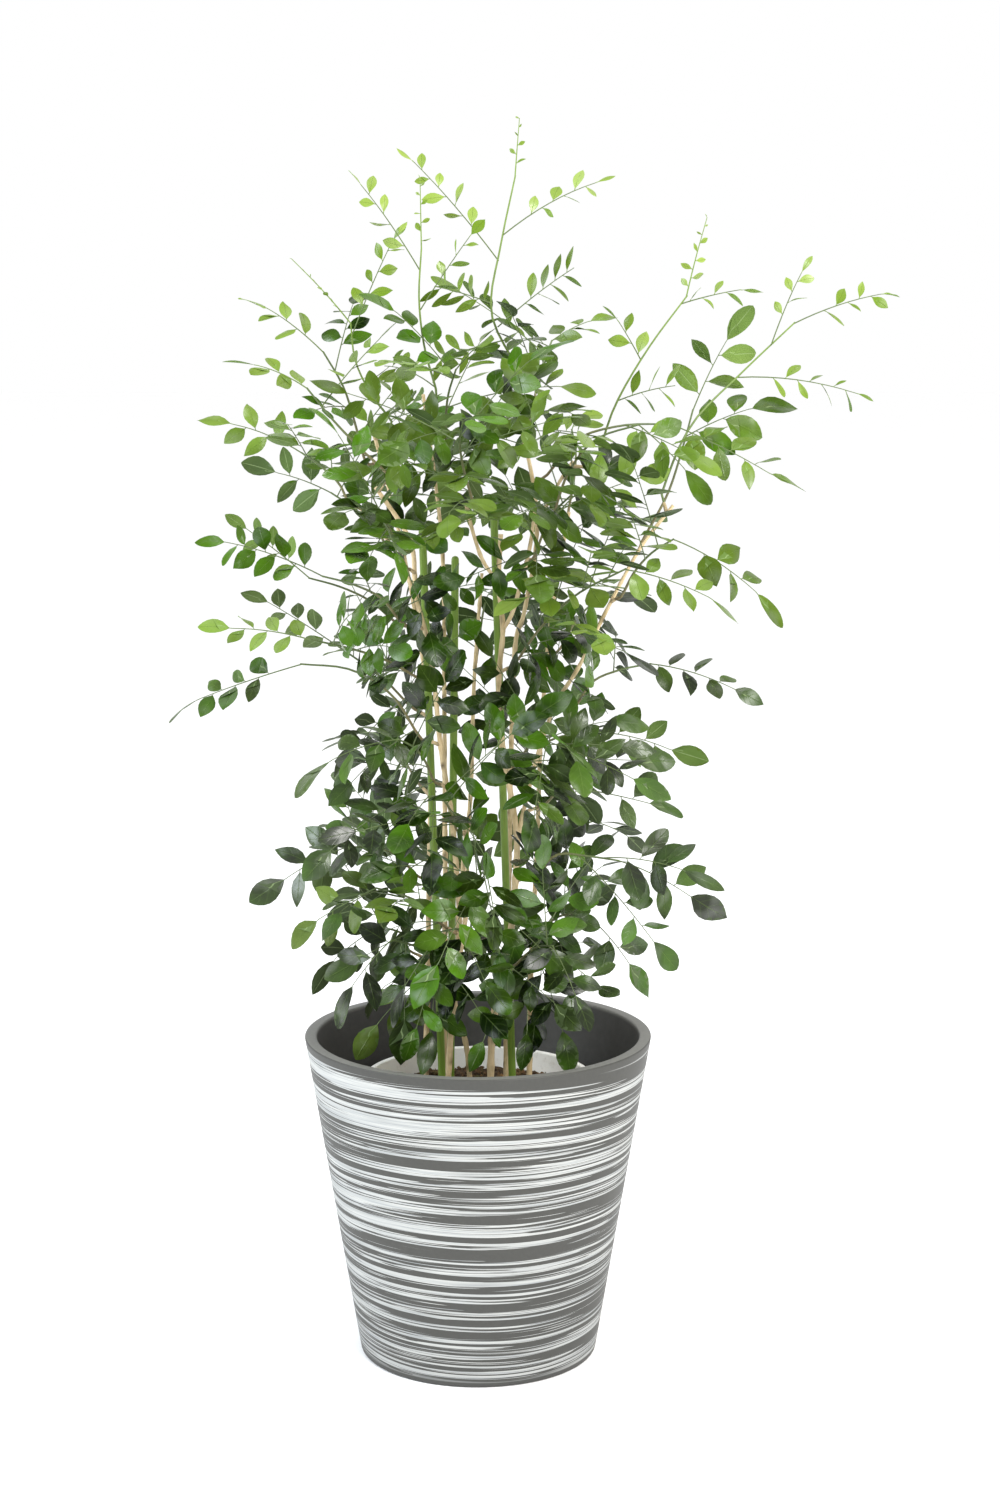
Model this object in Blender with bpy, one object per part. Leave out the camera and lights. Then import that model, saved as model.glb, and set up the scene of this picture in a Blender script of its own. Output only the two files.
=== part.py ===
"""A potted orange jasmine: a tapered planter, the nursery pot that stands in it, soil, three support
stakes, woody canes and leafy shoots. Metres, +Z up; the origin is the middle of the planter's
underside, and the plant's face is towards -Y."""

import math

import bmesh
import bpy
import numpy as np
from mathutils.bvhtree import BVHTree

# The planter: a straight taper with a flat rim and small round-overs.
PLANTER_HEIGHT = 0.330
PLANTER_RIM_RADIUS = 0.175
PLANTER_FOOT_RADIUS = 0.120
PLANTER_WALL = 0.012
PLANTER_FLOOR = 0.012
PLANTER_ROUND = 0.002
PLANTER_FOOT_ROUND = 0.004
PLANTER_SIDES = 44

# The nursery pot: thin plastic with a rolled lip.
CLEARANCE = 0.0003
NURSERY_RIM_RADIUS = 0.1165
NURSERY_FOOT_RADIUS = 0.088
NURSERY_TOP = 0.285
NURSERY_WALL = 0.0018
NURSERY_LIP_WIDTH = 0.006
NURSERY_LIP_DEPTH = 0.014
NURSERY_SIDES = 32

# The soil fills the nursery pot to a little under its lip.
SOIL_TOP = 0.264
SOIL_SWELL = 0.003
SOIL_SIDES = 24
STAKE_HOLE_FLOOR = 0.120
CANE_HOLE_FLOOR = 0.215

STAKE_RADIUS = 0.0038
STAKE_SIDES = 8
CANE_SIDES = 5
SPUR_SIDES = 3
SPUR_LENGTH = 0.013
SPUR_RADIUS = 0.0024
SPUR_ROOT_RADIUS = 0.0016
SPUR_RISE = 0.55

# Twigs and leaf stalks are three-sided, with a flat upper side.
TWIG_RADIUS = 0.0024
TWIG_TIP_RADIUS = 0.0018
TWIG_STEPS = 4
TWIG_START = 0.010
STALK_ROOT_RADIUS = 0.0007
STALK_RADIUS = 0.0012
STALK_TIP_RADIUS = 0.0008
STALK_STEPS = 24

# Leaflets: half width and the lowest height of the keel, and where they grow on a stalk, as
# shares of a leaflet's length or of the stalk's.
LEAFLET_FOOT = 0.0035
LEAFLET_KEEL = 0.0012
LEAFLET_CROWN = 0.0005
BLADE_SHARE = 0.285
SHORT_FROND = 0.103
LONG_FROND = 0.124
LAST_PAIR = 0.56
PAIR_SPACING = 0.74
BARE_STALK = 0.14
TERMINAL_SHARE = 1.05
LEAST_STALK = 0.66

# How leaflets vary: the lean from the stalk in degrees, the rise from the leaf's plane, the roll
# about the leaflet's own axis in radians, and the growth. The leaflet at the tip has its own.
LEAN = 68.0
LEAN_FALL = 14.0
LEAN_RANGE, RISE_RANGE, ROLL_RANGE, GROWTH_RANGE = (-3, 3), (-0.14, 0.16), (-0.22, 0.22), (0.92, 1.06)
TIP_LEAN_RANGE, TIP_RISE_RANGE = (-9, 9), (-0.25, 0.05)
TIP_ROLL_RANGE, TIP_GROWTH_RANGE = (-0.2, 0.2), (1.05, 1.2)

# Leaves: how far a stalk arches as a share of its length, and the way its face looks: outwards,
# to the front or the back, and up, with a spread. Those rooted ahead of FRONT_HALF look forward.
# Up to the first of FACE_HEIGHTS they look more forward, and from the second on more up.
ARCH_RANGE = (0.02, 0.11)
FACE_OUT, FACE_SPREAD = 0.25, 0.42
FACE_HEIGHTS, FACE_FORWARD, FACE_UP = (0.86, 1.02), (0.85, 0.50), (0.50, 0.85)
FRONT_HALF = 0.045
EDGE_ON = 0.45

# Side leaves: where they root on a twig, how they lean along it, how flat they lie and how far
# they reach.
SIDE_FIRST, SIDE_SPAN, SIDE_SHIFT, SIDE_ENDS = 0.14, 0.74, 0.09, (0.12, 0.92)
FIRST_LEAN_RANGE, SIDE_LEAN_RANGE = (-0.4, 0.3), (0.2, 0.75)
SIDE_FLATNESS, SIDE_CLIMB = 0.60, 0.06
SIDE_REACH_RANGE = (0.078, 0.122)
FULL_SIZE = 0.036
GOLDEN_ANGLE = 137.5

# The closed bush that side leaves stay in, seen from the front: its left and right edge at each
# height. Only the leaves at chosen places stand out of it. BUSH_DEPTH is how far it reaches to
# the front and the back.
BUSH_TOP, BUSH_DEPTH = 1.13, 0.21
BUSH_SIDES = (
    (0.36, -0.100, 0.080), (0.45, -0.140, 0.130), (0.50, -0.150, 0.155), (0.57, -0.140, 0.090),
    (0.62, -0.130, 0.160), (0.67, -0.095, 0.110), (0.73, -0.135, 0.150), (0.77, -0.140, 0.170),
    (0.82, -0.105, 0.140), (0.88, -0.115, 0.170), (0.94, -0.180, 0.130), (1.00, -0.180, 0.080),
    (1.06, -0.140, 0.050),
)

# Tries for a place that is free, and how far each try moves a twig or a leaf's tip.
TWIG_TRIES, TWIG_WANDER = 40, 0.0012
NAMED_TRIES, NAMED_WANDER = 60, 0.0008
SIDE_TRIES, SIDE_SUBTRIES, SIDE_WANDER = 60, 2, 0.003

# How much room things keep: a leaf's leaflets grown by a share and a thickness, and rods round
# stalks, twigs, canes and stakes.
ROOM_SHARE = 1.12
ROOM_LENGTH = 1.04
ROOM_THICK = 0.0016
ROOM_STALK = 0.0022
ROOM_PAST_ROOT = 0.12
ROOM_TWIG_TEST, ROOM_TWIG = 0.0012, 0.0008
ROOM_ROD = 0.001

SEED = 15

# Stakes: foot and head of each.
STAKES = (
    ((0.040, 0.004), (0.016, 0.000, 0.858)),
    ((-0.030, 0.012), (-0.022, 0.008, 0.812)),
    ((-0.031, -0.012), (-0.054, -0.008, 0.842)),
)

# Canes: each is a list of stems, and a stem is its foot radius, its head radius and its points.
# The first stem of a cane stands in the soil, and the others fork off it.
CANES = {
    "cane_1": (
        (0.0032, 0.0020, ((-0.034, -0.035, 0), (-0.024, -0.036, 0.387), (-0.018, -0.036, 0.454),
                          (-0.022, -0.036, 0.520), (-0.027, -0.036, 0.570), (-0.036, -0.036, 0.628),
                          (-0.045, -0.037, 0.716), (-0.059, -0.038, 0.776), (-0.062, -0.042, 0.821),
                          (-0.072, -0.048, 0.846), (-0.097, -0.060, 0.884))),
        (0.0020, 0.0016, ((-0.059, -0.038, 0.774), (-0.068, -0.032, 0.797), (-0.081, -0.024, 0.821),
                          (-0.096, -0.014, 0.840), (-0.114, -0.006, 0.862))),
        (0.0026, 0.0018, ((-0.024, -0.036, 0.390), (-0.014, -0.046, 0.441), (-0.010, -0.052, 0.500),
                          (-0.013, -0.058, 0.560))),
    ),
    "cane_2": (
        (0.0038, 0.0022, ((0.012, -0.022, 0), (0.014, -0.022, 0.328), (0.023, -0.022, 0.398),
                          (0.033, -0.022, 0.440), (0.039, -0.022, 0.520), (0.036, -0.022, 0.560),
                          (0.024, -0.022, 0.631), (0.021, -0.022, 0.692), (0.025, -0.022, 0.742),
                          (0.021, -0.022, 0.789), (0.023, -0.022, 0.836))),
        (0.0021, 0.0017, ((0.025, -0.022, 0.742), (0.034, -0.027, 0.759), (0.042, -0.032, 0.787),
                          (0.051, -0.037, 0.824), (0.056, -0.046, 0.862))),
        (0.0019, 0.0016, ((0.021, -0.022, 0.788), (0.006, -0.030, 0.810), (-0.003, -0.040, 0.836),
                          (-0.011, -0.050, 0.868))),
        (0.0022, 0.0016, ((0.039, -0.022, 0.530), (0.049, -0.022, 0.577), (0.060, -0.021, 0.620),
                          (0.077, -0.020, 0.668), (0.100, -0.020, 0.706), (0.127, -0.020, 0.762),
                          (0.159, -0.020, 0.822), (0.191, -0.020, 0.864))),
    ),
    "cane_3": (
        (0.0031, 0.0017, ((0.028, 0.034, 0), (0.031, 0.034, 0.460), (0.036, 0.033, 0.700),
                          (0.046, 0.031, 0.752), (0.057, 0.029, 0.812), (0.058, 0.027, 0.862),
                          (0.046, 0.020, 0.925), (0.028, 0.008, 0.985))),
        (0.0019, 0.0016, ((0.058, 0.028, 0.836), (0.074, 0.024, 0.872), (0.094, 0.016, 0.905))),
    ),
    "cane_4": (
        (0.0030, 0.0016, ((-0.036, 0.048, 0), (-0.034, 0.050, 0.420), (-0.034, 0.050, 0.664),
                          (-0.035, 0.049, 0.804), (-0.043, 0.036, 0.890), (-0.053, 0.010, 0.970))),
    ),
    "cane_5": (
        (0.0028, 0.0017, ((-0.004, 0.024, 0), (-0.012, 0.024, 0.308), (-0.024, 0.026, 0.356),
                          (-0.020, 0.034, 0.450), (-0.008, 0.044, 0.560), (-0.004, 0.052, 0.680),
                          (0.004, 0.060, 0.790))),
    ),
    "cane_6": (
        (0.0031, 0.0016, ((-0.056, 0.052, 0), (-0.052, 0.062, 0.394), (-0.050, 0.074, 0.520),
                          (-0.050, 0.082, 0.640), (-0.066, 0.078, 0.760), (-0.086, 0.062, 0.860),
                          (-0.104, 0.040, 0.935))),
    ),
    "cane_7": (
        (0.0031, 0.0017, ((0.052, 0.048, 0), (0.054, 0.058, 0.380), (0.060, 0.068, 0.500),
                          (0.064, 0.076, 0.620), (0.074, 0.082, 0.740), (0.092, 0.080, 0.850))),
    ),
}

# Leafy shoots: the cane and stem that carries it and the height there, the twig's points past
# its spur, the leaves at chosen places as (part of the twig, tip of the leaf), the number of
# further leaves, the length of a leaflet and the pairs of leaflets on a leaf.
SHOOTS = {
    "spray_01": ("cane_3", 0, 0.978,
                 ((0.014, 0.000, 1.040), (0.024, 0.000, 1.120), (0.037, 0.000, 1.180)),
                 ((0.99, (0.041, 0.000, 1.237)), (0.72, (0.134, 0.004, 1.184)),
                  (0.60, (-0.075, -0.006, 1.209)), (0.28, (0.110, -0.030, 1.105)),
                  (0.40, (-0.060, 0.050, 1.080))), 2, 0.021, 4),
    "spray_02": ("cane_4", 0, 0.962, ((-0.055, -0.020, 1.040), (-0.053, -0.030, 1.110)),
                 ((0.99, (-0.054, -0.034, 1.182)), (0.86, (-0.122, -0.030, 1.187)),
                  (0.62, (0.006, -0.036, 1.140))), 1, 0.021, 4),
    "spray_03": ("cane_6", 0, 0.925, ((-0.116, 0.024, 0.990), (-0.124, 0.020, 1.040)),
                 ((0.99, (-0.184, 0.020, 1.106)), (0.90, (-0.073, 0.020, 1.140))), 1, 0.022, 4),
    "spray_04": ("cane_3", 1, 0.900,
                 ((0.130, 0.004, 0.950), (0.172, 0.000, 1.024), (0.204, 0.000, 1.066)),
                 ((0.99, (0.223, 0.000, 1.146)), (0.95, (0.272, 0.004, 1.087)),
                  (0.62, (0.126, -0.004, 1.060)), (0.40, (0.215, -0.024, 0.986))), 1, 0.024, 4),
    "spray_05": ("cane_2", 3, 0.856,
                 ((0.212, 0.012, 0.944), (0.268, 0.030, 0.998), (0.312, 0.030, 1.040)),
                 ((0.99, (0.416, 0.030, 1.074)), (0.86, (0.326, 0.032, 1.106)),
                  (0.66, (0.394, 0.026, 0.968))), 0, 0.020, 4),
    "spray_06": ("cane_6", 0, 0.900, ((-0.130, 0.010, 0.975), (-0.150, 0.000, 1.012)),
                 ((0.99, (-0.226, -0.004, 1.072)),), 3, 0.030, 4),
    "spray_07": ("cane_1", 0, 0.880, ((-0.128, -0.080, 0.940), (-0.160, -0.092, 0.980)),
                 ((0.99, (-0.228, -0.104, 1.012)),), 3, 0.031, 3),
    "spray_08": ("cane_1", 1, 0.858, ((-0.140, -0.004, 0.890), (-0.172, 0.000, 0.914)),
                 ((0.99, (-0.270, 0.000, 0.955)),), 3, 0.033, 5),
    "spray_09": ("cane_6", 0, 0.800, ((-0.110, 0.094, 0.840), (-0.150, 0.104, 0.868)),
                 ((0.99, (-0.232, 0.110, 0.898)),), 3, 0.032, 4),
    "spray_10": ("cane_6", 0, 0.730, ((-0.120, 0.068, 0.768), (-0.170, 0.052, 0.786)),
                 ((0.99, (-0.252, 0.050, 0.852)),), 2, 0.027, 5),
    "spray_11": ("cane_1", 0, 0.745, ((-0.100, -0.050, 0.782), (-0.150, -0.052, 0.798)),
                 ((0.99, (-0.268, -0.050, 0.840)),), 3, 0.027, 5),
    "spray_12": ("cane_6", 0, 0.640, ((-0.100, 0.096, 0.680), (-0.146, 0.102, 0.712)),
                 ((0.99, (-0.240, 0.104, 0.772)),), 3, 0.030, 4),
    "spray_13": ("cane_1", 0, 0.690, ((-0.100, -0.080, 0.725), (-0.158, -0.116, 0.744)),
                 ((0.99, (-0.262, -0.122, 0.760)),), 4, 0.030, 4),
    "spray_14": ("cane_1", 0, 0.630, ((-0.100, -0.060, 0.700), (-0.170, -0.080, 0.716)),
                 ((0.99, (-0.298, -0.082, 0.672)),), 3, 0.032, 5),
    "spray_15": ("cane_1", 0, 0.588, ((-0.056, -0.066, 0.628), (-0.076, -0.088, 0.644)),
                 ((0.99, (-0.170, -0.110, 0.618)),), 4, 0.042, 3),
    "spray_16": ("cane_6", 0, 0.470, ((-0.090, 0.036, 0.510), (-0.132, 0.006, 0.520)),
                 ((0.99, (-0.222, -0.002, 0.474)),), 4, 0.036, 4),
    "spray_17": ("cane_1", 0, 0.440, ((-0.060, -0.052, 0.478), (-0.100, -0.060, 0.492)),
                 ((0.99, (-0.184, -0.064, 0.446)),), 3, 0.038, 4),
    "spray_18": ("cane_6", 0, 0.390, ((-0.080, 0.062, 0.420), (-0.104, 0.052, 0.426)),
                 ((0.99, (-0.168, 0.046, 0.380)),), 2, 0.034, 3),
    "spray_19": ("cane_1", 0, 0.400, ((-0.056, -0.062, 0.432), (-0.084, -0.086, 0.446)),
                 ((0.99, (-0.138, -0.104, 0.385)),), 1, 0.040, 3),
    "spray_20": ("cane_1", 2, 0.440, ((-0.018, -0.082, 0.456), (-0.036, -0.096, 0.456)),
                 ((0.99, (-0.086, -0.116, 0.382)),), 3, 0.037, 3),
    "spray_21": ("cane_2", 3, 0.820, ((0.190, 0.010, 0.880), (0.214, 0.050, 0.954)),
                 ((0.99, (0.262, 0.056, 1.054)), (0.80, (0.300, 0.064, 0.976))), 1, 0.040, 3),
    "spray_22": ("cane_3", 0, 0.880, ((0.110, -0.014, 0.936), (0.190, -0.006, 0.942)),
                 ((0.99, (0.318, 0.000, 0.880)), (0.70, (0.230, -0.060, 0.905))), 2, 0.038, 5),
    "spray_23": ("cane_2", 1, 0.852, ((0.100, -0.084, 0.922), (0.154, -0.100, 0.946)),
                 ((0.99, (0.216, -0.108, 0.886)),), 4, 0.036, 3),
    "spray_24": ("cane_2", 3, 0.770, ((0.160, -0.044, 0.812), (0.190, -0.052, 0.834)),
                 ((0.99, (0.306, -0.050, 0.760)),), 3, 0.041, 4),
    "spray_25": ("cane_2", 0, 0.700, ((0.080, -0.080, 0.772), (0.142, -0.102, 0.810)),
                 ((0.99, (0.254, -0.104, 0.772)),), 7, 0.034, 4),
    "spray_26": ("cane_2", 3, 0.660, ((0.120, -0.008, 0.694), (0.172, 0.000, 0.706)),
                 ((0.99, (0.288, 0.000, 0.671)),), 4, 0.035, 5),
    "spray_27": ("cane_3", 0, 0.590, ((0.074, 0.040, 0.624), (0.114, 0.050, 0.630)),
                 ((0.99, (0.230, 0.052, 0.604)),), 3, 0.036, 5),
    "spray_28": ("cane_2", 3, 0.560, ((0.086, -0.010, 0.582), (0.116, 0.000, 0.578)),
                 ((0.99, (0.196, 0.000, 0.560)),), 3, 0.037, 3),
    "spray_29": ("cane_2", 0, 0.490, ((0.080, -0.032, 0.520), (0.140, -0.034, 0.514)),
                 ((0.99, (0.244, -0.034, 0.462)), (0.82, (0.234, -0.060, 0.500)),
                  (0.60, (0.206, -0.056, 0.408))), 1, 0.038, 4),
    "spray_30": ("cane_7", 0, 0.420, ((0.090, 0.030, 0.446), (0.114, 0.008, 0.446)),
                 ((0.99, (0.170, -0.004, 0.382)),), 3, 0.038, 4),
    "spray_31": ("cane_2", 2, 0.862, ((-0.016, -0.086, 0.920), (-0.012, -0.124, 0.950)),
                 ((0.99, (0.000, -0.216, 0.958)),), 7, 0.038, 4),
    "spray_32": ("cane_2", 1, 0.810, ((0.070, -0.080, 0.856), (0.088, -0.120, 0.880)),
                 ((0.99, (0.118, -0.212, 0.878)),), 7, 0.038, 4),
    "spray_33": ("cane_3", 0, 0.930, ((0.062, 0.052, 0.990), (0.074, 0.066, 1.022)),
                 ((0.99, (0.130, 0.104, 1.050)),), 3, 0.032, 4),
    "spray_34": ("cane_7", 0, 0.840, ((0.100, 0.116, 0.900), (0.096, 0.148, 0.930)),
                 ((0.99, (0.110, 0.236, 0.950)),), 2, 0.034, 4),
    "spray_35": ("cane_6", 0, 0.850, ((-0.084, 0.110, 0.910), (-0.080, 0.144, 0.936)),
                 ((0.99, (-0.098, 0.232, 0.954)),), 2, 0.034, 4),
    "spray_36": ("cane_7", 0, 0.700, ((0.104, 0.120, 0.740), (0.128, 0.152, 0.756)),
                 ((0.99, (0.180, 0.226, 0.754)),), 1, 0.036, 4),
    "spray_37": ("cane_5", 0, 0.700, ((0.004, 0.110, 0.740), (0.008, 0.152, 0.756)),
                 ((0.99, (0.020, 0.256, 0.760)),), 2, 0.036, 4),
    "spray_38": ("cane_6", 0, 0.560, ((-0.086, 0.126, 0.600), (-0.110, 0.160, 0.612)),
                 ((0.99, (-0.164, 0.236, 0.590)),), 2, 0.036, 4),
    "spray_39": ("cane_7", 0, 0.480, ((0.096, 0.106, 0.516), (0.120, 0.136, 0.522)),
                 ((0.99, (0.176, 0.204, 0.486)),), 1, 0.037, 4),
    "spray_40": ("cane_4", 0, 0.430, ((-0.030, 0.104, 0.476), (-0.034, 0.140, 0.484)),
                 ((0.99, (-0.050, 0.226, 0.446)),), 2, 0.037, 4),
    "spray_41": ("cane_1", 2, 0.545, ((-0.030, -0.100, 0.586), (-0.046, -0.132, 0.596)),
                 ((0.99, (-0.070, -0.222, 0.576)),), 6, 0.038, 4),
    "spray_42": ("cane_2", 0, 0.600, ((0.056, -0.070, 0.640), (0.072, -0.104, 0.650)),
                 ((0.99, (0.104, -0.196, 0.632)),), 7, 0.038, 4),
    "spray_43": ("cane_1", 2, 0.480, ((0.004, -0.096, 0.514), (0.010, -0.124, 0.518)),
                 ((0.99, (0.020, -0.210, 0.482)),), 5, 0.038, 4),
    "spray_44": ("cane_2", 0, 0.400, ((0.056, -0.062, 0.432), (0.074, -0.088, 0.440)),
                 ((0.99, (0.104, -0.150, 0.385)),), 4, 0.037, 3),
    "spray_45": ("cane_1", 0, 0.800, ((-0.084, -0.092, 0.850), (-0.096, -0.128, 0.866)),
                 ((0.99, (-0.130, -0.214, 0.872)),), 7, 0.036, 4),
    "spray_46": ("cane_4", 0, 0.900, ((-0.030, -0.010, 0.960), (-0.020, -0.040, 0.996)),
                 ((0.99, (0.010, -0.120, 1.030)),), 3, 0.032, 4),
}


def clear_scene():
    for item in list(bpy.data.objects):
        bpy.data.objects.remove(item, do_unlink=True)


def material(name, colour, roughness):
    made = bpy.data.materials.new(name)
    made.use_nodes = True
    shader = made.node_tree.nodes["Principled BSDF"]
    shader.inputs["Base Color"].default_value = (*colour, 1.0)
    shader.inputs["Roughness"].default_value = roughness
    shader.inputs["Metallic"].default_value = 0.0
    made.diffuse_color = (*colour, 1.0)
    return made


def add_object(name, mesh, finish):
    made = bpy.data.objects.new(name, mesh)
    mesh.materials.clear()
    mesh.materials.append(finish)
    bpy.context.collection.objects.link(made)
    return made


def mesh_from(name, points, faces):
    """A closed mesh whose faces all point outwards."""
    mesh = bpy.data.meshes.new(name)
    mesh.from_pydata([tuple(p) for p in points], [], [tuple(f) for f in faces])
    work = bmesh.new()
    work.from_mesh(mesh)
    bmesh.ops.triangulate(work, faces=work.faces)
    bmesh.ops.recalc_face_normals(work, faces=work.faces)
    if work.calc_volume(signed=True) < 0:
        bmesh.ops.reverse_faces(work, faces=work.faces)
    work.to_mesh(mesh)
    work.free()
    return mesh


def unit(vector):
    return vector / np.linalg.norm(vector)


def turned(name, profile, sides, finish):
    """The solid that an outline of (radius, height) points sweeps round the Z axis. The outline
    starts and ends on the axis."""
    work = bmesh.new()
    corners = [work.verts.new((radius, 0.0, height)) for radius, height in profile]
    edges = [work.edges.new(pair) for pair in zip(corners, corners[1:])]
    bmesh.ops.spin(work, geom=corners + edges, axis=(0, 0, 1), cent=(0, 0, 0),
                   angle=2 * math.pi, steps=sides)
    bmesh.ops.remove_doubles(work, verts=work.verts, dist=0.00002)
    bmesh.ops.recalc_face_normals(work, faces=work.faces)
    mesh = bpy.data.meshes.new(name)
    work.to_mesh(mesh)
    work.free()
    mesh.shade_smooth()
    mesh.set_sharp_from_angle(angle=math.radians(35))
    return add_object(name, mesh, finish)


def sampled(points, steps):
    """A smooth curve through the points, by Catmull-Rom, at even steps of its length."""
    points = np.array(points, float)
    padded = np.vstack([2 * points[0] - points[1], points, 2 * points[-1] - points[-2]])
    fine = []
    for a, b, c, d in zip(padded, padded[1:], padded[2:], padded[3:]):
        for t in np.linspace(0, 1, 8, endpoint=False):
            fine.append(0.5 * (2 * b + (c - a) * t + (2 * a - 5 * b + 4 * c - d) * t * t
                               + (3 * b - a - 3 * c + d) * t ** 3))
    fine = np.array(fine + [points[-1]])
    walked = np.r_[0, np.cumsum(np.linalg.norm(np.diff(fine, axis=0), axis=1))]
    return at_lengths(fine, walked, np.linspace(0, walked[-1], steps + 1))


def at_lengths(points, walked, wanted):
    return np.stack([np.interp(wanted, walked, points[:, k]) for k in range(3)], axis=1)


def frames(points, upward):
    """The direction, the left side and the upper side at each point of a route. The left side
    starts square to upward and is carried along without twist."""
    steps = np.diff(points, axis=0)
    along = np.vstack([steps[:1], steps[:-1] + steps[1:], steps[-1:]])
    along /= np.linalg.norm(along, axis=1)[:, None]
    left = [unit(np.cross(upward, along[0]))]
    for direction in along[1:]:
        left.append(unit(left[-1] - direction * (left[-1] @ direction)))
    left = np.array(left)
    return along, left, np.cross(along, left)


def tube(points, radii, sides):
    """Corners and faces of a capped tube round a route."""
    points = np.array(points, float)
    start = points[1] - points[0]
    upward = np.array((0.0, 1.0, 0.0)) if abs(start[2]) > 0.7 * np.linalg.norm(start) \
        else np.array((0.0, 0.0, 1.0))
    along, left, upper = frames(points, upward)
    turn = 2 * math.pi * np.arange(sides) / sides
    rings = points[:, None] + np.array(radii)[:, None, None] * (
        left[:, None] * np.cos(turn)[None, :, None] + upper[:, None] * np.sin(turn)[None, :, None])
    faces = []
    for i in range(len(points) - 1):
        for j in range(sides):
            k = (j + 1) % sides
            faces.append((i * sides + j, i * sides + k, (i + 1) * sides + k, (i + 1) * sides + j))
    faces.append(tuple(range(sides))[::-1])
    faces.append(tuple((len(points) - 1) * sides + j for j in range(sides)))
    return rings.reshape(-1, 3), faces


def triangles_of(faces):
    """Faces split into triangles, as fans."""
    return [(f[0], f[k], f[k + 1]) for f in faces for k in range(1, len(f) - 1)]


def bent(root, control, tip, steps):
    """Points of the quadratic curve that leaves the root towards the control point."""
    t = np.linspace(0, 1, steps + 1)[:, None]
    return root * (1 - t) ** 2 + control * 2 * t * (1 - t) + tip * t * t


class Leaf:
    """A pinnate leaf: its stalk's route, and its leaflets as (root, axis, across, upper, length,
    half width, place on the stalk, side). The last leaflet is the one at the tip."""

    def __init__(self, root, tip, arch, facing, size, pairs, draw):
        length = np.linalg.norm(tip - root)
        control = (root + tip) / 2 + np.array((0, 0, arch * length))
        self.route = bent(root, control, tip, STALK_STEPS)
        way = unit(tip - root)
        if np.linalg.norm(np.cross(facing, way)) < EDGE_ON:
            facing = np.array((0.1, 0.0, 1.0)) if abs(way[2]) < 0.8 else np.array((0.0, -1.0, 0.1))
        self.along, self.left, self.upper = frames(self.route, facing)
        self.length = length
        room_for = 1 + int((length * (1 - BARE_STALK) - size * LAST_PAIR) / (size * PAIR_SPACING))
        self.pairs = max(1, min(pairs, room_for))
        self.leaflets = []
        for k in range(self.pairs)[::-1]:
            place = 1 - size * (LAST_PAIR + PAIR_SPACING * k) / length
            grown = size * (0.72 + 0.28 * math.sin(math.pi * min(1.0, 0.25 + 0.75 * place)))
            for side in (1, -1):
                self.add(place, side, math.radians(LEAN - LEAN_FALL * place + draw.uniform(*LEAN_RANGE)),
                         draw.uniform(*RISE_RANGE), draw.uniform(*ROLL_RANGE),
                         grown * draw.uniform(*GROWTH_RANGE))
        self.add(1.0, 0, math.radians(draw.uniform(*TIP_LEAN_RANGE)), draw.uniform(*TIP_RISE_RANGE),
                 draw.uniform(*TIP_ROLL_RANGE), size * draw.uniform(*TIP_GROWTH_RANGE))
        near_tip = self.pairs - 1
        self.shown = [near_tip] if length < SHORT_FROND else sorted({near_tip, max(0, near_tip - 2)})
        self.bends = [self.leaflets[2 * pair][6] for pair in self.shown]

    def spots(self, places):
        """Points of the stalk at places from 0 at its root to 1 at its tip."""
        steps = np.arange(len(self.route)) / (len(self.route) - 1)
        return np.stack([np.interp(places, steps, self.route[:, k]) for k in range(3)], axis=1)

    def add(self, place, side, lean, rise, roll, length):
        """A leaflet at a place on the stalk: its axis leans from the stalk and rises from the
        leaf's plane, and its blade is rolled about its axis."""
        here = int(place * STALK_STEPS)
        along, left, normal = self.along[here], self.left[here], self.upper[here]
        sideways = left * (side if side else 1)
        axis = unit(along * math.cos(lean) + sideways * math.sin(lean) + normal * rise)
        upper = unit(normal - axis * (normal @ axis))
        across = np.cross(upper, axis)
        upper, across = (upper * math.cos(roll) + across * math.sin(roll),
                         across * math.cos(roll) - upper * math.sin(roll))
        self.leaflets.append((self.route[here], axis, across, upper, length, length * BLADE_SHARE,
                              place, side))


def blade_room(leaf):
    """Corners and triangles of flat boxes round the leaflets of a leaf."""
    points, faces = [], []
    for root, axis, across, upper, length, half, _, _ in leaf.leaflets:
        half, reach = half * ROOM_SHARE, length * ROOM_LENGTH
        for lift in (ROOM_THICK, -ROOM_THICK):
            rise = upper * lift
            points += [root + axis * LEAFLET_FOOT + rise,
                       root + axis * reach * 0.5 + across * half + rise,
                       root + axis * reach + rise,
                       root + axis * reach * 0.5 - across * half + rise]
        base = len(points) - 8
        faces += [(base, base + 1, base + 2), (base, base + 2, base + 3),
                  (base + 4, base + 6, base + 5), (base + 4, base + 7, base + 6)]
        for k in range(4):
            m = (k + 1) % 4
            faces += [(base + k, base + 4 + k, base + 4 + m), (base + k, base + 4 + m, base + m)]
    return points, faces


def rod_room(route, radius):
    points, faces = tube(route, [radius] * len(route), 3)
    return list(points), triangles_of(faces)


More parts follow.
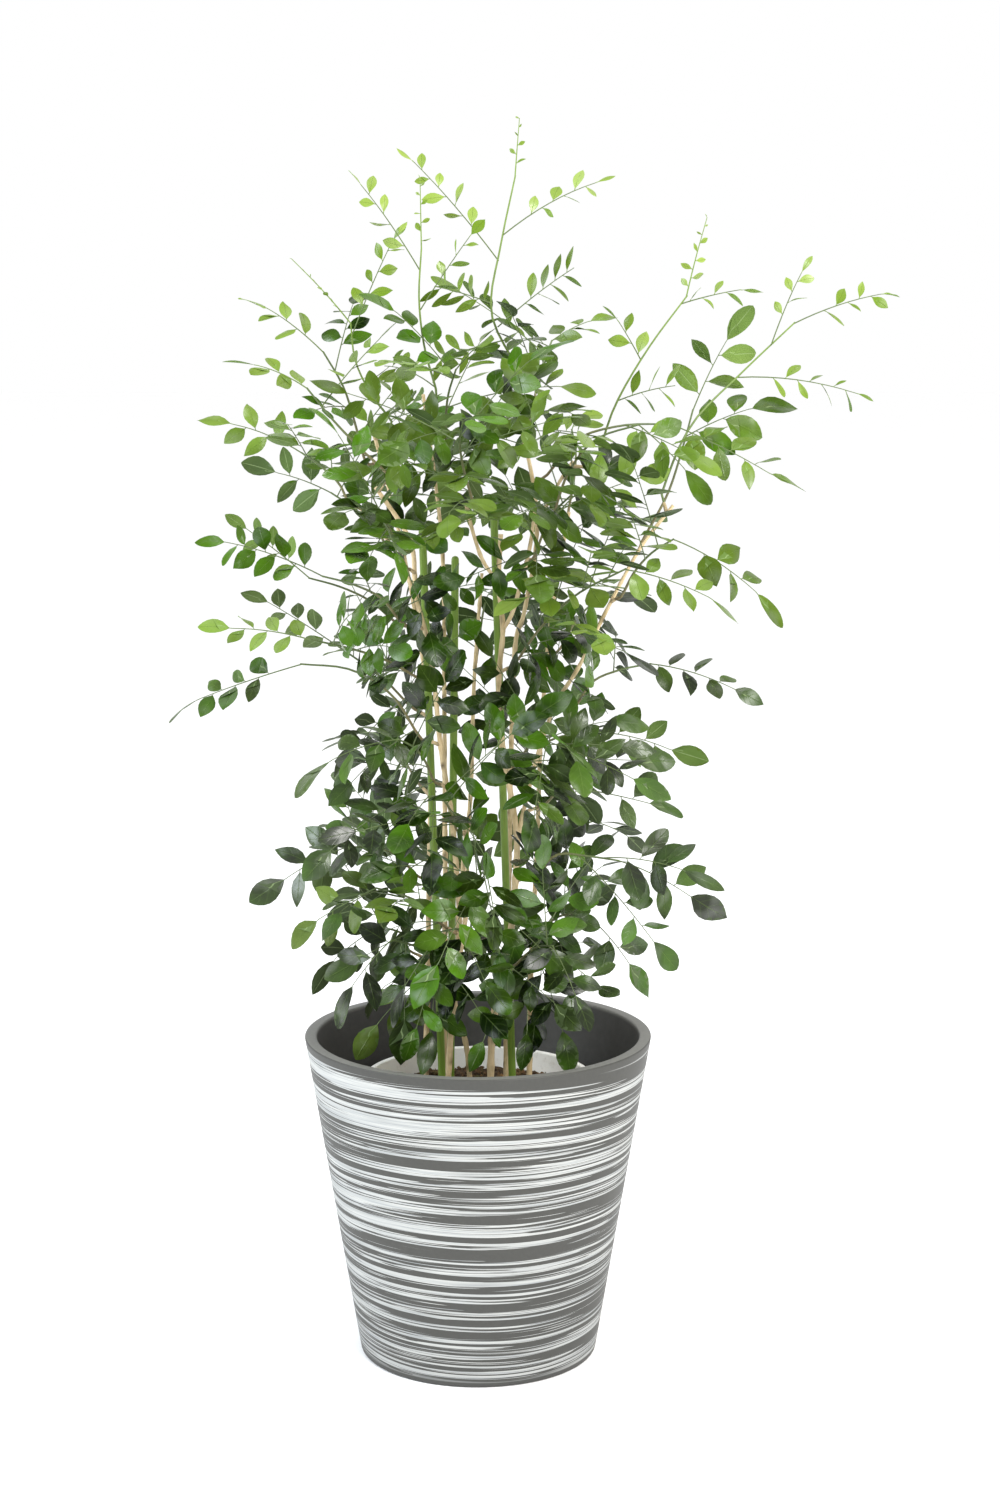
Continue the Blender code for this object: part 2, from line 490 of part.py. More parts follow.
class Room:
    """The space that is already taken: a search tree and a box for each thing placed."""

    def __init__(self):
        self.taken = []

    def add(self, name, points, faces):
        points = np.array(points)
        tree = BVHTree.FromPolygons(points.tolist(), faces)
        self.taken.append((name, tree, points.min(0), points.max(0)))

    def free(self, points, faces, leave=()):
        """Whether the triangles meet nothing placed, apart from the names left out."""
        points = np.array(points)
        low, high = points.min(0), points.max(0)
        tree = None
        for name, other, other_low, other_high in self.taken:
            if name in leave or (low > other_high).any() or (high < other_low).any():
                continue
            if tree is None:
                tree = BVHTree.FromPolygons(points.tolist(), faces)
            if tree.overlap(other):
                return False
        return True


def ring_wall(radii_heights, sides=32):
    """A band of triangles through rings of (radius, height)."""
    turn = 2 * math.pi * np.arange(sides) / sides
    points = [(r * math.cos(a), r * math.sin(a), z) for r, z in radii_heights for a in turn]
    faces = []
    for i in range(len(radii_heights) - 1):
        for j in range(sides):
            k = (j + 1) % sides
            faces += [(i * sides + j, i * sides + k, (i + 1) * sides + k),
                      (i * sides + j, (i + 1) * sides + k, (i + 1) * sides + j)]
    return points, faces


def planter_room(margin=0.003, low=0.1):
    """The planter's upper wall as (radius, height) points, with a margin."""
    inner = PLANTER_RIM_RADIUS - PLANTER_WALL
    return ((PLANTER_FOOT_RADIUS, low), (PLANTER_RIM_RADIUS + margin, PLANTER_HEIGHT + margin),
            (inner - margin, PLANTER_HEIGHT + margin), (PLANTER_FOOT_RADIUS + margin, low))


def soil_room(margin=0.002, low=0.2):
    """The nursery pot's lip and the soil as (radius, height) points, with a margin."""
    outer, inner = NURSERY_RIM_RADIUS + margin, NURSERY_RIM_RADIUS - NURSERY_LIP_WIDTH - margin
    return ((outer, low), (outer, NURSERY_TOP + margin), (inner, NURSERY_TOP + margin),
            (0.0, SOIL_TOP + SOIL_SWELL + margin))


def cane_stems(cane):
    """The points and radii of a cane's stems, with the first one's foot set into the soil."""
    stems = []
    for index, (foot, head, points) in enumerate(CANES[cane]):
        points = np.array(points, float)
        if index == 0:
            points[0, 2] = CANE_HOLE_FLOOR + CLEARANCE
        stems.append((points, np.linspace(foot, head, len(points))))
    return stems


def stake_route(index):
    (x, y), head = STAKES[index]
    foot = np.array((x, y, STAKE_HOLE_FLOOR + CLEARANCE))
    return np.array((foot, head))


def place_at_height(points, height):
    """The point of a stem at a height, and the stem's direction there."""
    for a, b in zip(points, points[1:]):
        if a[2] <= height <= b[2]:
            share = (height - a[2]) / (b[2] - a[2])
            return a + (b - a) * share, unit(b - a)
    return points[-1], unit(points[-1] - points[-2])


class Shoot:
    """A leafy shoot: its spur's two ends, its twig's route and its leaves."""

    def __init__(self, name):
        cane, stem, height, through, named, further, size, pairs = SHOOTS[name]
        self.name, self.cane, self.size, self.pairs = name, cane, size, pairs
        self.named, self.further = named, further
        self.seat, grows = place_at_height(cane_stems(cane)[stem][0], height)
        self.through = np.array(through, float)
        towards = self.through[0] - self.seat
        self.away = unit(unit(towards - grows * (towards @ grows)) + SPUR_RISE * grows)
        self.spur_end = self.seat + self.away * SPUR_LENGTH
        self.leaves = []

    def lay_twig(self, sideways):
        start = self.spur_end + self.away * CLEARANCE
        first = start + self.away * TWIG_START
        through = self.through.copy()
        through[:-1] += sideways
        self.twig = np.vstack([start, first, sampled(np.vstack([first, through]), TWIG_STEPS - 1)[1:]])
        self.walked = np.r_[0, np.cumsum(np.linalg.norm(np.diff(self.twig, axis=0), axis=1))]

    def on_twig(self, share):
        """The point and the direction at a share of the twig's length."""
        reach = self.walked[-1]
        spots = at_lengths(self.twig, self.walked,
                           np.array([share * reach - 0.002, share * reach, share * reach + 0.002]))
        return spots[1], unit(spots[2] - spots[0])


def grow():
    """Every shoot with its leaves, placed so that nothing meets anything else."""
    draw = np.random.default_rng(SEED)
    room = Room()
    room.add("planter", *ring_wall(planter_room()))
    room.add("soil", *ring_wall(soil_room()))
    for index in range(len(STAKES)):
        room.add("stake", *rod_room(stake_route(index), STAKE_RADIUS * 1.5 + ROOM_ROD))
    for cane in CANES:
        for points, radii in cane_stems(cane):
            room.add(cane, *rod_room(points, radii[0] * 1.3 + ROOM_ROD))
    shoots = [Shoot(name) for name in SHOOTS]
    for shoot in shoots:
        spur = np.array((shoot.seat, shoot.spur_end))
        room.add(shoot.name + "_spur", *rod_room(spur, SPUR_RADIUS * 1.3))
    for shoot in shoots:
        for attempt in range(TWIG_TRIES):
            shoot.lay_twig(draw.uniform(-1, 1, 3) * TWIG_WANDER * attempt)
            solid = rod_room(shoot.twig, TWIG_RADIUS + ROOM_TWIG_TEST)
            beyond = rod_room(shoot.twig[1:], TWIG_RADIUS + ROOM_TWIG_TEST)
            if (room.free(*solid, leave=(shoot.name + "_spur", shoot.cane))
                    and room.free(*beyond)):
                break
        room.add(shoot.name + "_twig", *rod_room(shoot.twig, TWIG_RADIUS + ROOM_TWIG))
    for shoot in shoots:
        for share, tip in shoot.named:
            root, _ = shoot.on_twig(share)
            whole = np.array(tip, float) - root
            stalk = max(1 - TERMINAL_SHARE * shoot.size / np.linalg.norm(whole), LEAST_STALK)
            add_leaf(shoot, room, draw, root, root + whole * stalk, shoot.pairs, NAMED_TRIES,
                     NAMED_WANDER)
    most = max(shoot.further for shoot in shoots)
    for turn in range(most):
        for shoot in shoots:
            if turn < shoot.further:
                add_side_leaf(shoot, room, draw, turn)
    return shoots


def add_leaf(shoot, room, draw, root, tip, pairs, attempts, wander):
    """Try a leaf with small changes until it meets nothing, and keep it if it is free."""
    for attempt in range(attempts):
        moved = tip + draw.uniform(-1, 1, 3) * wander * attempt
        arch = draw.uniform(*ARCH_RANGE)
        forward = np.interp(root[2], FACE_HEIGHTS, FACE_FORWARD)
        if root[1] < FRONT_HALF:
            forward = -forward
        up = np.interp(root[2], FACE_HEIGHTS, FACE_UP)
        facing = np.array((FACE_OUT * np.sign(root[0]), forward, up))
        facing = unit(facing + draw.uniform(-FACE_SPREAD, FACE_SPREAD, 3))
        leaf = Leaf(root, moved, arch, facing, shoot.size, pairs, draw)
        blades = blade_room(leaf)
        stalk = rod_room(leaf.spots([0.0] + leaf.bends + [1.0]), ROOM_STALK)
        beyond = rod_room(leaf.spots([ROOM_PAST_ROOT] + leaf.bends + [1.0]), ROOM_STALK)
        if (room.free(*blades) and room.free(*stalk, leave=(shoot.name + "_twig", shoot.name + "_root"))
                and room.free(*beyond)):
            room.add(shoot.name, *blades)
            room.add(shoot.name, *beyond)
            room.add(shoot.name + "_root", *stalk)
            shoot.leaves.append(leaf)
            return True
    return False


def add_side_leaf(shoot, room, draw, turn):
    """A leaf from the twig's side, turned by the golden angle from the last and reaching up."""
    share = SIDE_FIRST + SIDE_SPAN * turn / max(shoot.further - 1, 1)
    for attempt in range(SIDE_TRIES):
        shifted = share + draw.uniform(-SIDE_SHIFT, SIDE_SHIFT)
        root, along = shoot.on_twig(min(SIDE_ENDS[1], max(SIDE_ENDS[0], shifted)))
        left = unit(np.cross(along, (0.3, 0.2, 1.0)))
        about = math.radians(GOLDEN_ANGLE * turn) + draw.uniform(0, 2 * math.pi)
        outward = left * math.cos(about) + np.cross(along, left) * math.sin(about)
        way = along * draw.uniform(*(SIDE_LEAN_RANGE if turn else FIRST_LEAN_RANGE)) + outward
        way[2] = way[2] * SIDE_FLATNESS + SIDE_CLIMB
        reach = draw.uniform(*SIDE_REACH_RANGE) * (0.6 + 0.4 * shoot.size / FULL_SIZE)
        tip = root + unit(way) * reach
        heights, left_edge, right_edge = zip(*BUSH_SIDES)
        if (tip[2] > BUSH_TOP or abs(tip[1]) > BUSH_DEPTH
                or tip[0] < np.interp(tip[2], heights, left_edge)
                or tip[0] > np.interp(tip[2], heights, right_edge)):
            continue
        if add_leaf(shoot, room, draw, root, tip, max(3, shoot.pairs - 1), SIDE_SUBTRIES,
                    SIDE_WANDER):
            return True
    return False


def leaf_solid(leaf):
    """Corners and faces of a leaf as one closed skin. The three-sided stalk has a short step for
    each pair of leaflets that is shown, and a leaflet grows out of the step's side faces."""
    laterals = leaf.leaflets[:-1]
    step = LEAFLET_FOOT / leaf.length
    places = [0.0]
    for middle in leaf.bends:
        places += [middle - step / 2, middle + step / 2]
    places.append(1.0)
    points, faces = [], []
    for place, centre in zip(places, leaf.spots(places)):
        near = int(round(place * STALK_STEPS))
        radius = STALK_RADIUS + (STALK_TIP_RADIUS - STALK_RADIUS) * place
        if place == 0.0:
            radius = STALK_ROOT_RADIUS
        points += [centre + leaf.left[near] * radius + leaf.upper[near] * radius * 0.5,
                   centre - leaf.left[near] * radius + leaf.upper[near] * radius * 0.5,
                   centre - leaf.upper[near] * radius]
    faces.append((0, 1, 2))
    for ring in range(len(places) - 1):
        a, b = 3 * ring, 3 * ring + 3
        faces += [(a, a + 1, b + 1), (a, b + 1, b)]
        for side in (0, 1):
            here, there = a + side, b + side
            low_here, low_there = a + 2, b + 2
            faces.append((there, low_there, low_here))
            if ring % 2 == 0:
                faces.append((here, there, low_here))
            else:
                pair = leaf.shown[ring // 2]
                blade = laterals[2 * pair + side]
                grow_blade(points, faces, (here, there, low_here), blade, 1 - 2 * side, False)
    end = 3 * (len(places) - 1)
    grow_blade(points, faces, (end, end + 1, end + 2), leaf.leaflets[-1], 1,
               leaf.length > LONG_FROND)
    return points, faces


def full_split(points, quad, middle):
    """The two triangles of a bent quad that leave the solid round its middle the fuller."""
    a, b, c, d = (points[k] for k in quad)
    outward = np.cross(c - a, d - b)
    outward = outward * np.sign(outward @ ((a + b + c + d) / 4 - middle))
    p, q, r, s = quad
    if outward @ (a + c) > outward @ (b + d):
        return [(p, q, r), (p, r, s)]
    return [(p, q, s), (q, r, s)]


def grow_blade(points, faces, foot, blade, first_side, rounded):
    """A leaflet that grows from a triangle of corners (one edge, other edge, keel) to its widest
    part, or two where it is rounded, and to its tip. first_side says on which side of the
    leaflet, across its axis, the first corner lies."""
    root, axis, across, upper, length, half, _, _ = blade
    sections = ((0.34, 0.86), (0.72, 0.84)) if rounded else ((0.56, 1.0),)
    last = foot
    for share, width in sections:
        centre = root + axis * length * share
        base = len(points)
        rise = upper * LEAFLET_CROWN
        points += [centre + across * half * width * first_side + rise,
                   centre - across * half * width * first_side + rise,
                   centre - upper * LEAFLET_KEEL]
        this = (base, base + 1, base + 2)
        middle = np.mean([points[k] for k in last + this], axis=0)
        for j in range(3):
            k = (j + 1) % 3
            faces += full_split(points, (last[j], last[k], this[k], this[j]), middle)
        last = this
    points.append(root + axis * length)
    top = len(points) - 1
    for j in range(3):
        faces.append((last[j], last[(j + 1) % 3], top))


def split_into_triangles(mesh):
    """Split every face of the mesh into triangles, in place."""
    work = bmesh.new()
    work.from_mesh(mesh)
    bmesh.ops.triangulate(work, faces=work.faces)
    work.to_mesh(mesh)
    work.free()


def fused(name, solids, finish, solver="EXACT"):
    """One solid from several that meet: the first with the rest joined to it."""
    main = add_object(name, mesh_from(name, *solids[0]), finish)
    if len(solids) == 1:
        return main
    others = bpy.data.collections.new(name + "_parts")
    for index, (points, faces) in enumerate(solids[1:]):
        part = bpy.data.objects.new(f"{name}_part_{index}", mesh_from(name, points, faces))
        others.objects.link(part)
    join = main.modifiers.new("join", "BOOLEAN")
    join.operation = "UNION"
    join.operand_type = "COLLECTION"
    join.collection = others
    join.solver = solver
    bpy.context.collection.children.link(others)
    bpy.context.view_layer.update()
    graph = bpy.context.evaluated_depsgraph_get()
    joined = bpy.data.meshes.new_from_object(main.evaluated_get(graph))
    split_into_triangles(joined)
    main.modifiers.clear()
    main.data = joined
    joined.materials.clear()
    joined.materials.append(finish)
    for part in list(others.objects):
        bpy.data.objects.remove(part, do_unlink=True)
    bpy.data.collections.remove(others)
    return main


def make_planter(finish):
    slope = (PLANTER_RIM_RADIUS - PLANTER_FOOT_RADIUS) / PLANTER_HEIGHT
    top, edge = PLANTER_HEIGHT, PLANTER_ROUND
    inner_rim = PLANTER_RIM_RADIUS - PLANTER_WALL
    inner_foot = PLANTER_FOOT_RADIUS + slope * PLANTER_FLOOR - PLANTER_WALL
    profile = (
        (0.0, 0.0),
        (PLANTER_FOOT_RADIUS - PLANTER_FOOT_ROUND, 0.0),
        (PLANTER_FOOT_RADIUS, PLANTER_FOOT_ROUND),
        (PLANTER_RIM_RADIUS, top - edge),
        (PLANTER_RIM_RADIUS - edge, top),
        (inner_rim + edge, top),
        (inner_rim, top - edge),
        (inner_foot, PLANTER_FLOOR),
        (0.0, PLANTER_FLOOR),
    )
    turned("outer_pot", profile, PLANTER_SIDES, finish)


def nursery_radius(height):
    """Outer radius of the nursery pot's wall under its lip."""
    foot = PLANTER_FLOOR + CLEARANCE
    share = (height - foot) / (NURSERY_TOP - foot)
    top = NURSERY_RIM_RADIUS - NURSERY_LIP_WIDTH + NURSERY_WALL
    return NURSERY_FOOT_RADIUS + (top - NURSERY_FOOT_RADIUS) * share


def make_nursery_pot(finish):
    foot = PLANTER_FLOOR + CLEARANCE
    lip = NURSERY_TOP - NURSERY_LIP_DEPTH
    floor = foot + NURSERY_WALL
    profile = (
        (0.0, foot),
        (NURSERY_FOOT_RADIUS, foot),
        (nursery_radius(lip), lip),
        (NURSERY_RIM_RADIUS, lip),
        (NURSERY_RIM_RADIUS, NURSERY_TOP - 0.002),
        (NURSERY_RIM_RADIUS - 0.002, NURSERY_TOP),
        (NURSERY_RIM_RADIUS - NURSERY_LIP_WIDTH, NURSERY_TOP),
        (nursery_radius(floor) - NURSERY_WALL, floor),
        (0.0, floor),
    )
    turned("nursery_pot", profile, NURSERY_SIDES, finish)


def make_soil(finish):
    """The root ball and potting soil, gently uneven on top, with a plain hole for each stem."""
    foot = PLANTER_FLOOR + CLEARANCE + NURSERY_WALL + CLEARANCE
    fit = NURSERY_WALL + 2 * CLEARANCE
    bottom = nursery_radius(foot) - fit - 0.001
    top = nursery_radius(SOIL_TOP) - fit - 0.001
    profile = [(0.0, foot), (bottom, foot), (top, SOIL_TOP - 0.002)]
    profile += [(top * share, SOIL_TOP) for share in (0.72, 0.38)]
    profile.append((0.0, SOIL_TOP))
    soil = turned("soil", profile, SOIL_SIDES, finish)
    for corner in soil.data.vertices:
        x, y, z = corner.co
        if z > SOIL_TOP - 0.001:
            corner.co.z += SOIL_SWELL * math.sin(61 * x + 1.0) * math.cos(53 * y - 0.4)
    holes = []
    for index in range(len(STAKES)):
        foot_point, head = stake_route(index)
        axis = unit(head - foot_point)
        route = np.array((foot_point - axis * CLEARANCE, foot_point + axis * 0.20))
        holes.append(tube(route, [STAKE_RADIUS + CLEARANCE * 1.3] * 2, STAKE_SIDES))
    for cane in CANES:
        points, radii = cane_stems(cane)[0]
        axis = unit(points[1] - points[0])
        route = np.array((points[0] - axis * CLEARANCE, points[0] + axis * 0.07))
        holes.append(tube(route, [radii[0] + CLEARANCE * 1.5] * 2, CANE_SIDES))
    for index, (points, faces) in enumerate(holes):
        cutter = add_object(f"hole_{index}", mesh_from("hole", points, faces), finish)
        cut = soil.modifiers.new("hole", "BOOLEAN")
        cut.operation = "DIFFERENCE"
        cut.object = cutter
    graph = bpy.context.evaluated_depsgraph_get()
    done = bpy.data.meshes.new_from_object(soil.evaluated_get(graph))
    soil.modifiers.clear()
    soil.data = done
    for index in range(len(holes)):
        bpy.data.objects.remove(bpy.data.objects[f"hole_{index}"], do_unlink=True)


def make_stakes(finish):
    """Plastic-coated rods, each with a short tapered head."""
    for index in range(len(STAKES)):
        foot, head = stake_route(index)
        axis = unit(head - foot)
        route = (foot, head - axis * 0.004, head)
        radii = (STAKE_RADIUS, STAKE_RADIUS, STAKE_RADIUS * 0.55)
        add_object(f"stake_{index + 1}", mesh_from("stake", *tube(route, radii, STAKE_SIDES)), finish)


def make_canes(shoots, finish):
    """Each cane with its forks and with the spurs that carry its shoots, as one solid."""
    for cane in CANES:
        solids = [tube(points, radii, CANE_SIDES) for points, radii in cane_stems(cane)]
        for shoot in shoots:
            if shoot.cane == cane:
                route = (shoot.seat, shoot.spur_end)
                solids.append(tube(route, (SPUR_ROOT_RADIUS, SPUR_RADIUS), SPUR_SIDES))
        fused(cane, solids, finish)


def make_sprays(shoots, finishes):
    for shoot in shoots:
        radii = np.linspace(TWIG_RADIUS, TWIG_TIP_RADIUS, len(shoot.twig))
        solids = [tube(shoot.twig, radii, 3)] + [leaf_solid(leaf) for leaf in shoot.leaves]
        young = shoot.size < 0.026
        fused(shoot.name, solids, finishes["young leaf" if young else "leaf"])


def main():
    clear_scene()
    finishes = {
        "planter": material("planter dark grey", (0.16, 0.16, 0.15), 0.5),
        "nursery": material("white nursery plastic", (0.80, 0.80, 0.78), 0.4),
        "soil": material("potting soil", (0.10, 0.07, 0.04), 0.95),
        "stake": material("green coated stake", (0.06, 0.16, 0.05), 0.4),
        "bark": material("pale bark", (0.47, 0.36, 0.22), 0.8),
        "leaf": material("leaf green", (0.06, 0.15, 0.03), 0.35),
        "young leaf": material("young leaf green", (0.22, 0.40, 0.06), 0.4),
    }
    shoots = grow()
    make_planter(finishes["planter"])
    make_nursery_pot(finishes["nursery"])
    make_soil(finishes["soil"])
    make_stakes(finishes["stake"])
    make_canes(shoots, finishes["bark"])
    make_sprays(shoots, finishes)


main()
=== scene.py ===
import functools
import math

import bpy
import numpy as np
from mathutils import Matrix
from mathutils.bvhtree import BVHTree


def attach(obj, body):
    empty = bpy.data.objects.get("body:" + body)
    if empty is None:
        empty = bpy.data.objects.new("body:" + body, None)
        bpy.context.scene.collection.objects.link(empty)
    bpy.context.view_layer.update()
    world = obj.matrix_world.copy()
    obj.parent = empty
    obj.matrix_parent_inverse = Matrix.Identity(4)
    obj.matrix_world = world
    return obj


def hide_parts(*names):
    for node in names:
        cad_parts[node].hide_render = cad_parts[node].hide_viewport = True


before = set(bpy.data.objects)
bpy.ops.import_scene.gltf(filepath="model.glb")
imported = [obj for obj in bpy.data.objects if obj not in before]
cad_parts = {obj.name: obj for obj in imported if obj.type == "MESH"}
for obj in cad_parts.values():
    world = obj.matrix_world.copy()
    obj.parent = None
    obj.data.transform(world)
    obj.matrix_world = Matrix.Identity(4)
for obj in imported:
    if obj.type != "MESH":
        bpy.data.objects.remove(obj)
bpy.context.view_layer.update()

# A potted orange jasmine: glossy pinnate leaves on pale canes, in a white nursery pot that stands
# in a tapered planter with brushed bands. Metres, +Z up, the plant's face towards -Y.
# The plant grows here by the same rule and the same random draws as its solids, and its leaves
# are then drawn with all their leaflets.

# The planter: a straight taper with a flat rim and small round-overs. TURNS are the points of a
# circle, RINGS are rows of them.
PLANTER_HEIGHT, PLANTER_RIM_RADIUS, PLANTER_FOOT_RADIUS = 0.330, 0.175, 0.120
PLANTER_WALL, PLANTER_FLOOR, PLANTER_ROUND, PLANTER_FOOT_ROUND = 0.012, 0.012, 0.002, 0.004
PLANTER_WELL_ROUND, PLANTER_TURNS, PLANTER_RINGS = 0.006, 192, 12

# The nursery pot: thin plastic with a rolled lip, a hair clear of the planter's floor. Its lip has
# a small edge below, as a step in and a rise, and two rounds on top, outside and inside.
CLEARANCE = 0.0003
NURSERY_RIM_RADIUS, NURSERY_FOOT_RADIUS, NURSERY_TOP = 0.1165, 0.088, 0.285
NURSERY_WALL, NURSERY_LIP_WIDTH, NURSERY_LIP_DEPTH, NURSERY_TURNS = 0.0018, 0.006, 0.014, 128
NURSERY_BEVEL, NURSERY_LIP_EDGE, NURSERY_LIP_ROUNDS = 0.002, (0.0005, 0.0008), (0.0025, 0.0020)

# The soil fills the nursery pot to a little under its lip. Its top has waves, whose middle dips
# below SOIL_TOP and which sink and swell this far. The crumbs on it: how many, the part of
# the radius that they cover, the range of their sizes, their squash, the unevenness of their
# corners, how far they tip, how high they lie, and the middle and the spread of their tint.
SOIL_TOP, SOIL_SWELL, SOIL_GAP, SOIL_TURNS, SOIL_RINGS = 0.264, 0.003, 0.001, 120, 34
SOIL_WAVES, SOIL_WAVE_HEIGHT, SOIL_DIP, SOIL_SINK = 0.030, 0.0022, 0.001, -0.004
CRUMBS, CRUMB_COVER, CRUMB_SIZES, CRUMB_SQUASH = 1500, 0.97, (0.0010, 0.0034), (0.4, 1.3)
CRUMB_UNEVEN, CRUMB_TIP, CRUMB_RISE, CRUMB_TINT = 0.25, 0.6, 0.0008, (0.15, 0.3)
STAKE_HOLE_FLOOR, CANE_HOLE_FLOOR = 0.120, 0.215

# Stakes and spurs. STAKE_HEAD rounds a stake's top: (distance from it, part of the radius).
STAKE_RADIUS, STAKE_HEAD = 0.0038, ((0.0045, 1.0), (0.003, 0.97), (0.0016, 0.84), (0.0006, 0.62),
                                    (0.0, 0.25))
SPUR_LENGTH, SPUR_RADIUS, SPUR_RISE = 0.013, 0.0024, 0.55

# Twigs and leaf stalks.
TWIG_RADIUS, TWIG_STEPS, TWIG_START, STALK_STEPS = 0.0024, 4, 0.010, 24

# Leaflets: half width, and where they grow on a stalk, as shares of a leaflet's length or of the
# stalk's. Those of a pair grow with their place on the stalk, by GROWN_SWELL of half a sine.
LEAFLET_FOOT, BLADE_SHARE, SHORT_FROND = 0.0035, 0.285, 0.103
LAST_PAIR, PAIR_SPACING, BARE_STALK, TERMINAL_SHARE, LEAST_STALK = 0.56, 0.74, 0.14, 1.05, 0.66
GROWN_LEAST, GROWN_SWELL, SWELL_START, SWELL_SPAN = 0.72, 0.28, 0.25, 0.75

# How leaflets vary: the lean from the stalk in degrees, the rise from the leaf's plane, the roll
# about the leaflet's own axis in radians, and the growth. The leaflet at the tip has its own.
LEAN, LEAN_FALL = 68.0, 14.0
LEAN_RANGE, RISE_RANGE, ROLL_RANGE, GROWTH_RANGE = (-3, 3), (-0.14, 0.16), (-0.22, 0.22), (0.92, 1.06)
TIP_LEAN_RANGE, TIP_RISE_RANGE = (-9, 9), (-0.25, 0.05)
TIP_ROLL_RANGE, TIP_GROWTH_RANGE = (-0.2, 0.2), (1.05, 1.2)

# Leaves: how far a stalk arches as a share of its length, and the way its face looks: outwards,
# to the front or the back, and up, with a spread. Those rooted ahead of FRONT_HALF look forward.
# Up to the first of FACE_HEIGHTS they look more forward, and from the second on more up. A leaf
# that would face along its own stalk looks up or forward instead.
ARCH_RANGE = (0.02, 0.11)
FACE_OUT, FACE_SPREAD = 0.25, 0.42
FACE_HEIGHTS, FACE_FORWARD, FACE_UP = (0.86, 1.02), (0.85, 0.50), (0.50, 0.85)
FRONT_HALF, EDGE_ON, UPRIGHT, FACE_AWAY = 0.045, 0.45, 0.8, ((0.1, 0.0, 1.0), (0.0, -1.0, 0.1))
# A route steeper than this, as a share of its length, has its rings laid out from +Y, not from +Z.
STEEP = 0.7

# Side leaves: where they root on a twig, how they lean along it, how flat they lie and how far
# they reach, with the part of it that grows with the shoot's leaflets.
SIDE_FIRST, SIDE_SPAN, SIDE_SHIFT, SIDE_ENDS = 0.14, 0.74, 0.09, (0.12, 0.92)
FIRST_LEAN_RANGE, SIDE_LEAN_RANGE, SIDE_LEFT = (-0.4, 0.3), (0.2, 0.75), (0.3, 0.2, 1.0)
SIDE_FLATNESS, SIDE_CLIMB, SIDE_REACH_RANGE, SIDE_PAIRS = 0.60, 0.06, (0.078, 0.122), 3
REACH_FIXED, REACH_GROWN, FULL_SIZE, GOLDEN_ANGLE = 0.6, 0.4, 0.036, 137.5

# The closed bush that side leaves stay in, seen from the front: its left and right edge at each
# height, in millimetres. Only the leaves at chosen places stand out of it. BUSH_DEPTH is how far
# it reaches to the front and the back.
BUSH_TOP, BUSH_DEPTH = 1.13, 0.21
BUSH_SIDES = np.array((
    (360, -100, 80), (450, -140, 130), (500, -150, 155), (570, -140, 90), (620, -130, 160),
    (670, -95, 110), (730, -135, 150), (770, -140, 170), (820, -105, 140), (880, -115, 170),
    (940, -180, 130), (1000, -180, 80), (1060, -140, 50))) / 1000

# Tries for a place that is free, and how far each try moves a twig or a leaf's tip.
TWIG_TRIES, TWIG_WANDER = 40, 0.0012
NAMED_TRIES, NAMED_WANDER = 60, 0.0008
SIDE_TRIES, SIDE_SUBTRIES, SIDE_WANDER = 60, 2, 0.003

# How much room things keep: a leaf's leaflets grown by a share and a thickness, rods round
# stalks, twigs, canes and stakes, and the margins of the pots and the soil.
ROOM_SHARE, ROOM_LENGTH, ROOM_THICK, ROOM_STALK, ROOM_PAST_ROOT = 1.12, 1.04, 0.0016, 0.0022, 0.12
ROOM_TWIG_TEST, ROOM_TWIG, ROOM_ROD = 0.0012, 0.0008, 0.001
ROOM_STAKE_SHARE, ROOM_CANE_SHARE = 1.5, 1.3
PLANTER_MARGIN, PLANTER_LOW, SOIL_MARGIN, SOIL_LOW, ROOM_SIDES = 0.003, 0.1, 0.002, 0.2, 32

SEED = 15

# Stakes, in millimetres: foot and head of each.
STAKES = (
    ((40, 4), (16, 0, 858)),
    ((-30, 12), (-22, 8, 812)),
    ((-31, -12), (-54, -8, 842)),
)

